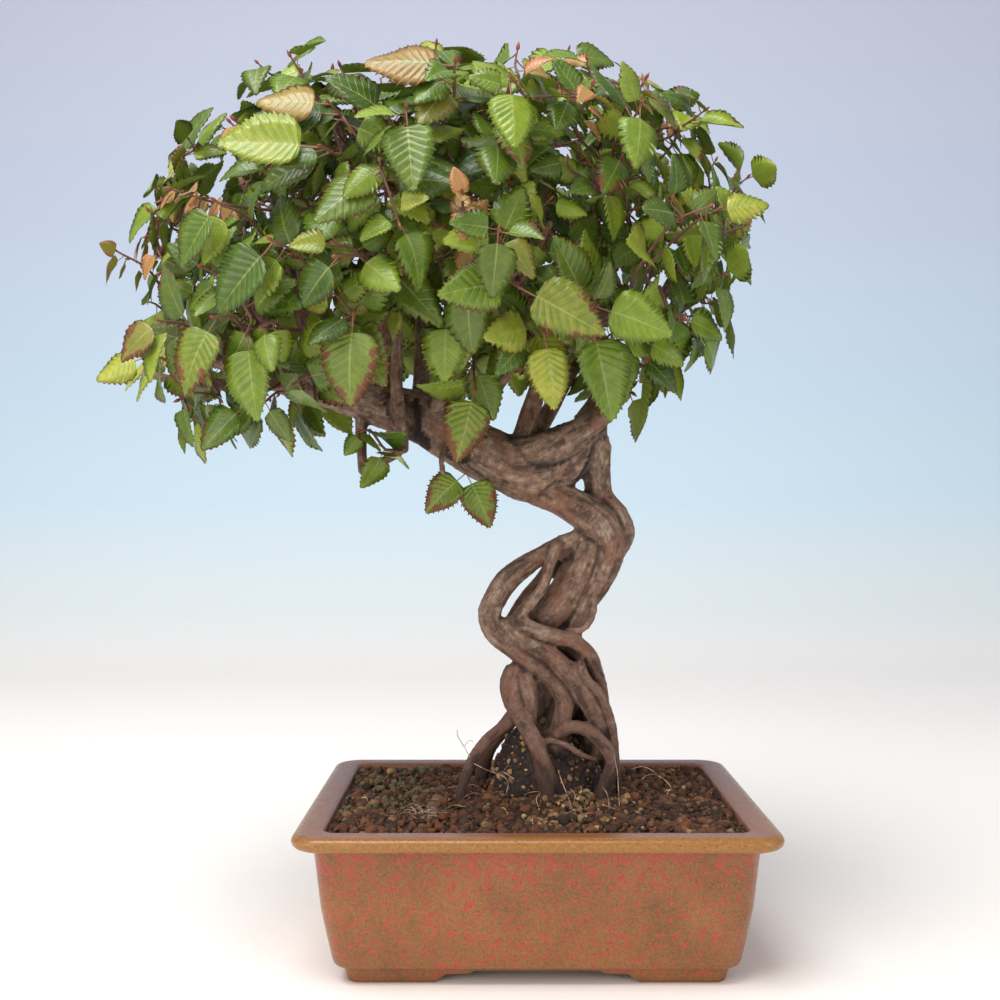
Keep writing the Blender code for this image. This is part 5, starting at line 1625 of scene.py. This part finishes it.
# %% The solid's crown, planned again
segments = wood_segments()
kinds = leaf_kinds()
draw = random.Random(SEED)
shoots, twig_cells = plan_shoots(draw, segments)
leaf_cells = set()
leaves = {shoot[0]: [] for shoot in shoots}
left = LEAF_BUDGET
for order in range(MOST_LEAVES):
    for shoot in shoots:
        most = YOUNG_LEAVES_EACH if shoot[4] else FRONT_LEAVES_EACH if shoot[3] else MOST_LEAVES
        if left == 0 or order >= most:
            continue
        leaf = try_leaf(shoot, order, draw, kinds, segments, twig_cells, leaf_cells)
        if leaf:
            leaves[shoot[0]].append(leaf)
            left -= 1

node_names = {}
counts = {False: 0, True: 0}
for number, _, _, _, young in [shoot for place, shoot in enumerate(shoots) if shoot[0] == place]:
    if len(leaves[number]) > 1:
        counts[young] += 1
        node_names[number] = ("young_shoot_%02d" if young else "leafy_spray_%02d") % counts[young]
print(sum(counts.values()), "sprays with", sum(len(each) for each in leaves.values()), "leaves")

# %% [markdown]
# A living crown is far denser than the solid one. More side twigs fork from the planned shoots
# towards the places that are still bare, and every twig gets further leaves wherever one fits.
# They may come closer to each other than solids may, but still none crosses another.

# %% More twigs and leaves in the bare places
EXTRA_TWIGS = 300
RIM_TWIGS = 90
EXTRA_TRIES = 9
EXTRA_LENGTH = (14.0, 24.0)
EXTRA_BLADES = (
    (0.41, 0.34, 0.28), (0.38, 0.10, 0.46), (0.44, 0.45, 0.12), (0.40, 0.22, -0.2), (0.42, 0.6, 0.3),
)
WITHIN_BOX = 10
NEAREST_FORKS = 14
ROUNDS = 8
box_low = (np.array(cad_box[0]) - np.array(HOME)) / MM + 0.5
box_high = (np.array(cad_box[1]) - np.array(HOME)) / MM - 0.5
blades = BLADES + EXTRA_BLADES
for width, bend, fold in EXTRA_BLADES:
    for teeth in (2, 3):
        corners, rims = leaf_template(teeth, width, bend, fold)
        kinds.append((corners, rims, spots_on(corners, rims, CELL * 0.44 / LONGEST_LEAF)))
full_cells = set()
for each in leaves.values():
    for kind, length, where in each:
        full_cells.update(cells_of(placed(kinds[kind][2], length, where)).tolist())


def squeeze_in(number, path, back, side, limits, draw):
    """A further leaf on a twig, at the first of several turns where it crosses nothing."""
    found = point_on(path, back)
    if found is None:
        return None
    start, along = found
    outward = (start - CANOPY_CENTRE).normalized()
    up = (outward + Vector((0, 0, 0.35))).normalized()
    across = along.cross(up).normalized() * side
    flowing = along - outward * along.dot(outward) * LIE_FLAT - Vector((0, 0, END_DROOP))
    toward = Vector((0, -0.7 if draw.random() < 0.5 else 0, 0))
    for attempt in range(EXTRA_TRIES):
        wobble = Vector([draw.uniform(-1, 1) for _ in range(3)]) * (0.4 + 0.08 * attempt)
        direction = (along * 0.3 + across - Vector((0, 0, 0.3)) if side else flowing) + wobble
        length = draw.uniform(*limits) * (1 - 0.03 * attempt)
        kind = draw.randrange(len(blades)) * 2 + (1 if length > LONG_LEAF else 0)
        where = leaf_frame(start, direction, up + wobble + toward)
        spots = placed(kinds[kind][2], length, where)
        if (spots.min(0) < box_low).any() or (spots.max(0) > box_high).any():
            continue
        cells = cells_of(spots).tolist()
        if any(cell in full_cells or twig_cells.get(cell, number) != number for cell in cells):
            continue
        if (wood_clearance(spots[::5], segments) < 0.7).any():
            continue
        full_cells.update(cells)
        return kind, length, where
    return None


def bare_directions(count):
    golden = math.pi * (3 - math.sqrt(5))
    for step in range(count):
        height = 1 - (1 - LOWEST_DIRECTION) * (step + 0.5) / count
        flat = math.sqrt(1 - height * height)
        yield Vector((flat * math.cos(golden * step), flat * math.sin(golden * step), height))


def extra_twig(target, twigs):
    """A short twig that forks from the nearest free place on an older one."""
    outward = (target - CANOPY_CENTRE).normalized()
    arrival = (outward + Vector((0, 0, 0.2))).normalized()
    places = [(number, place) for number, place in fork_points(twigs)
              if 9 < (target - place[0]).length < 42]
    places.sort(key=lambda found: (target - found[1][0]).length)
    for number, place in places[:NEAREST_FORKS]:
        path = shoot_path(place, target, arrival)
        cells = path_is_free(path, segments, twig_cells, number)
        if cells is None:
            continue
        line = [tuple(a.lerp(b, k / 12)) for a, b in zip(path, path[1:]) for k in range(12)]
        if not any(cell in full_cells for cell in cells_of(line[3:]).tolist()):
            twig_cells.update((cell, number) for cell in cells)
            return number, path
    return None


draw = random.Random(23)
grown = [shoot for shoot in shoots if shoot[0] in node_names]
extra_twigs, extra_leaves = [], {number: [] for number in node_names}
wishes = [shell_point(way, draw.uniform(0.5, 0.97)) for way in bare_directions(EXTRA_TWIGS)]
for turn in np.linspace(-0.55, 3.65, RIM_TWIGS):
    way = Vector((math.cos(turn), draw.uniform(-0.4, 0.4), math.sin(turn))).normalized()
    wishes.append(shell_point(way, draw.uniform(0.9, 0.99)))
wishes = [spot for spot in wishes if (np.array(spot) > box_low + WITHIN_BOX).all()
          and (np.array(spot) < box_high - WITHIN_BOX).all()]
draw.shuffle(wishes)
for target in wishes:
    found = extra_twig(target, grown)
    if found:
        number, path = found
        twig = (number, path, None, 0, False)
        extra_twigs.append(twig)
        grown.append(twig)
for order in range(ROUNDS):
    for number, path, _, _, young in grown:
        back = 1.5 if order == 0 else order * (3.4 if young else 4.4)
        side = 0 if order == 0 else 1 if order % 2 else -1
        leaf = squeeze_in(number, path, back, side, YOUNG_LENGTH if young else EXTRA_LENGTH, draw)
        if leaf:
            extra_leaves[number].append(leaf)
print(len(extra_twigs), "more twigs and", sum(len(each) for each in extra_leaves.values()), "more leaves")

# %% [markdown]
# A hornbeam leaf is pleated: about nine straight pairs of veins sink into it, and the blade swells
# between them up to an edge with small teeth on larger ones. So the mesh follows the veins: each
# row of corners runs from the midrib slantwise to the rim, every second row on a vein. The two
# faces share the rim, which keeps the blade closed and thin. Corners remember how far out, how
# far along and where between two veins they are, and the finish reads that.

# %% One pleated leaf
ACROSS = {4: (-1.0, -0.65, -0.3, 0.0, 0.3, 0.65, 1.0), 2: (-1.0, -0.5, 0.0, 0.5, 1.0)}
TEETH = {4: (1.0, 0.94, 1.1, 0.95), 2: (0.95, 1.07)}


def pleated_leaf(width, bend, fold, pairs, rows_each, turn):
    """A leaf of unit length: corners, faces, places and which corners are on the underside."""
    count = pairs * rows_each
    columns = np.array(ACROSS[rows_each])
    last = len(columns) - 1
    share = np.arange(count + 1) / count
    rib, rim = share**1.7, share**0.85
    teeth = np.array([TEETH[rows_each][row % rows_each] for row in range(count + 1)])
    wide = np.array([half_width(value, width) for value in rim]) * teeth
    lobe = 0.05 * np.sin(np.pi * np.minimum(rim / 0.3, 1)) - (teeth - 1) * 0.25
    out = np.abs(columns)
    along = rib[:, None] * (1 - out) + (rim - lobe)[:, None] * out
    across = wide[:, None] * columns
    calm = np.sqrt(np.sin(np.pi * share))[:, None]
    pleat = 0.013 * np.cos(2 * np.pi * share * pairs)[:, None] * calm
    pleat = pleat * np.interp(out, (0, 0.3, 1), (0, 1, 0.5))
    wave = 0.022 * np.sin(9 * share + turn)[:, None] * calm * columns * out
    lift = -bend * np.maximum(along, 0) ** 2 + fold * np.abs(across) + pleat + wave
    thick = (0.006 * (1 - out**2) + 0.008 * (out == 0)) * calm
    place = np.stack(np.broadcast_arrays(columns, share[:, None], share[:, None] * pairs), 2).reshape(-1, 3)
    upper = np.stack([across, along, lift + thick], 2).reshape(-1, 3)
    lower = np.stack([across, along, lift - thick], 2).reshape(-1, 3)
    half = len(upper)
    same = np.arange(2 * half).reshape(2, count + 1, last + 1)
    same[1, :, 0], same[1, :, last] = same[0, :, 0], same[0, :, last]
    same[:, 0, :], same[:, count, :] = same[0, 0, last // 2], same[0, count, last // 2]
    faces = []
    for side in (0, 1):
        grid = same[side]
        for row in range(count):
            for column in range(last):
                ring = [*grid[row, column:column + 2], grid[row + 1, column + 1], grid[row + 1, column]]
                ring = list(dict.fromkeys(ring if side == 0 else ring[::-1]))
                if len(ring) > 2:
                    faces.append(tuple(ring))
    stalk = [(0, -PETIOLE, 0, 0.019), (0, -0.17, -0.012, 0.013), (0, -0.07, -0.01, 0.013),
             (0, 0.04, 0, 0.012)]
    stalk_spots, stalk_faces = strand_tube(np.array(stalk, float), 5)
    spots, faces = join([(np.vstack([upper, lower]), faces), (stalk_spots, stalk_faces)])
    place = np.vstack([place, place, np.tile([0.0, -0.2, 0.5], (len(stalk_spots), 1))])
    under = np.zeros(len(spots))
    under[half:2 * half] = 1.0
    return spots, faces, place, under


def drop_unused(spots, faces, *values):
    used = sorted({i for face in faces for i in face})
    new = {old: number for number, old in enumerate(used)}
    return (spots[used], [tuple(new[i] for i in face) for face in faces], *(v[used] for v in values))


PAIRS = {4: 9, 2: 8}
leaf_shapes = {}
for number, (width, bend, fold) in enumerate(blades):
    for rows_each in (2, 4):
        for version in (0, 1):
            made = pleated_leaf(width, bend, fold, PAIRS[rows_each], rows_each, 2.1 * version + number)
            leaf_shapes[number, rows_each, version] = drop_unused(*made)
for rows_each in (2, 4):
    made = leaf_shapes[0, rows_each, 0]
    print("a leaf with", rows_each, "rows a vein has", sum(len(face) - 2 for face in made[1]), "triangles")

# %% [markdown]
# Leaves differ in age and fortune: most are deep green, some have scorched edges, a few have gone
# yellow, and the young ones at the tips are copper. The front of the tree has some that stand out,
# so the table marks where in the front view they are; the rest are drawn by lot.

# %% How each leaf is coloured
MARKED = (
    (555, 380, 24, (0.8, 0.1, 0.7, 0.0)), (390, 340, 22, (0.7, 0.1, 0.55, 0.0)),
    (270, 135, 22, (0.7, 0.0, 0.45, 0.0)), (112, 370, 26, (0.8, 0.2, 0.8, 0.0)),
    (467, 432, 26, (0.5, 0.9, 0.3, 0.0)), (350, 370, 26, (0.4, 0.8, 0.2, 0.0)),
    (192, 365, 26, (0.4, 0.75, 0.3, 0.0)), (232, 360, 22, (0.4, 0.8, 0.1, 0.0)),
    (440, 478, 22, (0.3, 1.0, 0.3, 0.0)), (462, 195, 16, (0.5, 0.1, 0.0, 0.9)),
    (640, 320, 30, (0.7, 0.1, 0.1, 0.0)), (254, 390, 20, (0.6, 0.0, 0.1, 0.0)),
    (132, 342, 18, (0.4, 0.9, 0.2, 0.2)), (128, 285, 12, (0.4, 0.1, 0.1, 0.6)),
)


def in_picture(spot):
    """The pixel of the front view that shows a place."""
    away = (spot[1] - EYE.y) / -EYE.y
    across = (spot[0] - EYE.x) / away + EYE.x
    height = (spot[2] - EYE.z) / away + EYE.z
    return PICTURE_MIDDLE[0] + across * PICTURE_SCALE, PICTURE_MIDDLE[1] - (height - EYE.z) * PICTURE_SCALE


def tone_of(middle, young, at_end, draw):
    """Green's shade, scorch, yellowing and youth of one leaf, each from 0 to 1."""
    shade = draw.random()
    scorch = draw.uniform(0.3, 0.85) if draw.random() < 0.3 else draw.uniform(0.0, 0.2)
    yellow = draw.uniform(0.4, 0.9) if draw.random() < 0.08 else draw.uniform(0.0, 0.15)
    youth = 0.0
    if young:
        youth = draw.uniform(0.6, 0.95)
    elif at_end and draw.random() < 0.08:
        youth = draw.uniform(0.15, 0.5)
    if middle[1] < 10 and not young:
        x, y = in_picture(middle)
        for mark_x, mark_y, reach, tone in MARKED:
            if math.hypot(x - mark_x, y - mark_y) < reach:
                return tone
    return shade, scorch, yellow, youth


# %% [markdown]
# Each solid spray becomes one piece that holds its twigs, its buds and its fine leaves, so that
# the spray can still be picked as a whole. Twigs are thin tubes, and a pointed bud sits at each
# tip and beside some of the leaf stalks.

# %% Sprays of leaves
FINE_FROM = 24.5
TWIG_RADII = (1.0, 0.8, 0.66, 0.5)


def twig_parts(path, slim, draw):
    rows = smooth_strand([(*spot, width * slim) for spot, width in zip(path, TWIG_RADII)], 4.0)
    parts = [strand_tube(rows, 6)]
    tip, way = path[-1], (path[-1] - path[-2]).normalized()
    parts.append(bud(tip, way, draw.uniform(2.4, 3.6)))
    for back in np.arange(6.0, 40.0, 8.0):
        found = point_on(path, back + draw.uniform(-1, 1))
        if found:
            spot, along = found
            aside = Vector([draw.uniform(-1, 1) for _ in range(3)]).cross(along).normalized()
            parts.append(bud(spot, (along + aside * 0.8).normalized(), draw.uniform(1.8, 2.6)))
    return parts


def bud(spot, way, length):
    steps = ((-0.15, 0.12), (0.1, 0.24), (0.35, 0.27), (0.65, 0.17), (0.9, 0.06), (1.0, 0.01))
    return strand_tube(np.array([(*(spot + way * length * s), r * length) for s, r in steps]), 5)


def leaf_mesh(leaf, young, at_end, draw):
    kind, length, (rows, start) = leaf
    rows_each = 4 if length > FINE_FROM else 2
    spots, faces, place, under = leaf_shapes[kind // 2, rows_each, draw.randrange(2)]
    here = start + length * ((spots + np.array([0, PETIOLE, 0])) @ rows)
    tone = tone_of(start + length * 0.7 * rows[1], young, at_end, draw)
    return here, faces, place, under, np.tile(tone, (len(here), 1))


def one_piece(name, parts):
    """Leaves, twigs and buds joined, with what their corners remember, kept within the solid's box."""
    spots, faces = join([part[:2] for part in parts])
    spots = np.clip(spots, box_low - 0.45, box_high + 0.45)
    values = {"leaf_place": np.vstack([part[2] for part in parts]),
              "leaf_under": np.concatenate([part[3] for part in parts]),
              "leaf_tone": np.vstack([part[4] for part in parts])}
    return make_piece(name, spots, faces, values)


HANGING_TWIG = ((452, 448, -12), (456, 460, -15), (461, 468, -17), (466, 473, -18))
HANGING_LEAVES = (
    (21.0, (-0.75, -0.1, -0.65), (-0.25, -0.95, 0.1)), (22.0, (0.45, -0.1, -0.9), (0.1, -0.95, 0.25)),
)


def hanging_sprig():
    """A short twig under the limb with two scorched leaves, which the solids leave out."""
    path = [Vector(seen_at(*spot)) for spot in HANGING_TWIG]
    parts = []
    for length, ahead, up in HANGING_LEAVES:
        spots, faces, place, under = leaf_shapes[4, 4, 0]
        rows, start = leaf_frame(path[-1], Vector(ahead), Vector(up))
        here = start + length * ((spots + np.array([0, PETIOLE, 0])) @ rows)
        parts.append((here, faces, place, under, np.tile((0.55, 0.9, 0.1, 0.0), (len(here), 1))))
    spots, faces = strand_tube(smooth_strand([(*spot, 0.8) for spot in path], 3.0), 6)
    parts.append((spots, faces, np.tile([0.0, -1.0, 0.5], (len(spots), 1)), np.zeros(len(spots)),
                  np.tile([0.5, 0.0, 0.0, 0.0], (len(spots), 1))))
    return one_piece("hanging_sprig", parts)


def make_spray(number, name, draw):
    young = name.startswith("young")
    parts = []
    for order, leaf in enumerate(leaves[number] + extra_leaves[number]):
        parts.append(leaf_mesh(leaf, young and leaf[1] < EXTRA_LENGTH[0], order < 2, draw))
    for path, slim in ([(s[1], 1.0) for s in shoots if s[0] == number]
                       + [(s[1], 0.75) for s in extra_twigs if s[0] == number]):
        for place_value, piece in zip([-1.0] + [-2.0] * 30, twig_parts(path, slim, draw)):
            spots, faces = piece
            count = len(spots)
            parts.append((spots, faces, np.tile([0.0, place_value, 0.5], (count, 1)), np.zeros(count),
                          np.tile([draw.random(), 0.0, 0.0, 1.0 if young else 0.0], (count, 1))))
    return one_piece(name + "_fine", parts)


# %% [markdown]
# The leaf's finish reads what the corners remember. Veins are a little paler than the blade and
# sink into it, and about half of the leaves have a thin brown line along their teeth. Scorch
# starts at the rim and eats inwards, yellow leaves keep green veins, and young ones go from copper
# at the edge to green at the rib. The underside is yellower and less glossy.

# %% Leaf finish
def leaf_finish(name):
    made, tree, shader = new_finish(name, 0.38)
    _, _, (across, along, phase), _ = stored(tree, "leaf_place")
    tone, _, _, _ = stored(tree, "leaf_tone")
    split = tree.nodes.new("ShaderNodeAttribute")
    split.attribute_name = "leaf_tone"
    parts = tree.nodes.new("ShaderNodeSeparateColor")
    tree.links.new(split.outputs["Color"], parts.inputs[0])
    shade, scorch, yellow = parts.outputs
    youth = split.outputs["Alpha"]
    _, under, _, _ = stored(tree, "leaf_under")
    where, _ = in_millimetres(tree)
    out = sums(tree, "ABSOLUTE", across)
    blotch = clouds(tree, where, 0.22, 4.0, 0.6)
    fine = clouds(tree, where, 1.3, 4.0, 0.6)
    to_vein = sums(tree, "ABSOLUTE", sums(tree, "SUBTRACT", sums(tree, "FRACT", phase), 0.5))
    vein = times(tree, fade(tree, to_vein, 0.12, 0.02), fade(tree, out, 1.0, 0.7))
    rib = fade(tree, out, 0.06, 0.02)

    green = colours(
        tree, plus(tree, times(tree, shade, 0.6), times(tree, blotch, 0.4)),
        (0.15, from_screen(40, 68, 12)), (0.42, from_screen(72, 101, 18)),
        (0.62, from_screen(105, 130, 26)), (0.88, from_screen(144, 160, 42)),
    )
    gold = blend(tree, fade(tree, blotch, 0.4, 0.6), from_screen(150, 160, 50), from_screen(178, 172, 66))
    off_vein = fade(tree, to_vein, 0.0, 0.25, 0.65, 1.0)
    colour = blend(tree, times(tree, yellow, off_vein), green, gold)
    fresh = colours(
        tree, plus(tree, times(tree, out, 0.5), times(tree, blotch, 0.6)),
        (0.2, from_screen(150, 120, 66)), (0.45, from_screen(180, 112, 72)),
        (0.75, from_screen(196, 128, 92)),
    )
    colour = blend(tree, youth, colour, fresh)
    colour = blend(tree, times(tree, vein, 0.16), colour, from_screen(150, 166, 76))
    colour = blend(tree, times(tree, rib, 0.5), colour, from_screen(160, 166, 100))
    lined = sums(tree, "GREATER_THAN", sums(tree, "FRACT", times(tree, shade, 7.3)), 0.5)
    line = times(tree, times(tree, fade(tree, out, 0.88, 0.97), 0.75), lined)
    colour = blend(tree, line, colour, from_screen(104, 52, 30))
    edge = plus(tree, times(tree, out, 0.55), times(tree, along, 0.35))
    edge = plus(tree, edge, times(tree, sums(tree, "SUBTRACT", blotch, 0.5), 1.1))
    start = sums(tree, "SUBTRACT", 1.0, times(tree, scorch, 0.55))
    burnt = fade(tree, sums(tree, "SUBTRACT", edge, start), 0.0, 0.1)
    brown = blend(tree, fine, from_screen(84, 44, 26), from_screen(132, 78, 44))
    colour = blend(tree, times(tree, burnt, 0.92), colour, brown)
    colour = blend(tree, times(tree, under, 0.6), colour, from_screen(146, 168, 58))
    stalk = fade(tree, along, -0.01, -0.1)
    twig = fade(tree, along, -0.5, -0.8)
    scale = fade(tree, along, -1.4, -1.7)
    colour = blend(tree, stalk, colour, from_screen(132, 92, 62))
    colour = blend(tree, twig, colour, blend(tree, fine, from_screen(88, 58, 46), from_screen(128, 92, 74)))
    colour = blend(tree, scale, colour, from_screen(142, 74, 56))
    tree.links.new(colour, shader.inputs["Base Color"])

    shine = plus(tree, fade(tree, fine, 0.3, 0.7, 0.26, 0.38), times(tree, under, 0.25))
    shine = plus(tree, shine, times(tree, burnt, 0.3))
    shine = plus(tree, shine, times(tree, twig, 0.25))
    tree.links.new(shine, shader.inputs["Roughness"])
    height = sums(tree, "SUBTRACT", times(tree, fine, 0.35), times(tree, vein, 0.5))
    relief(tree, shader, height, 0.0003, 0.7)
    return made


green_finish = leaf_finish("hornbeam_leaf")
copper_finish = leaf_finish("young_copper_leaf")
draw = random.Random(41)
for number, name in node_names.items():
    spray = make_spray(number, name, draw)
    young = name.startswith("young")
    slot_name = "young_copper_leaf" if young else "hornbeam_leaf"
    hand_over(spray, slot_name, copper_finish if young else green_finish, name)
hand_over(hanging_sprig(), "hornbeam_leaf", green_finish)
print("fine sprays made for", len(node_names), "solids")


# %% Size and finish
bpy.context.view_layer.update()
meshes = [piece for piece in bpy.data.objects if piece.type == "MESH"]
total = sum(triangles(piece) for piece in meshes if not piece.hide_render)
largest = max((triangles(piece), piece.name) for piece in meshes)
print(total, "triangles in all, most of them in", largest)
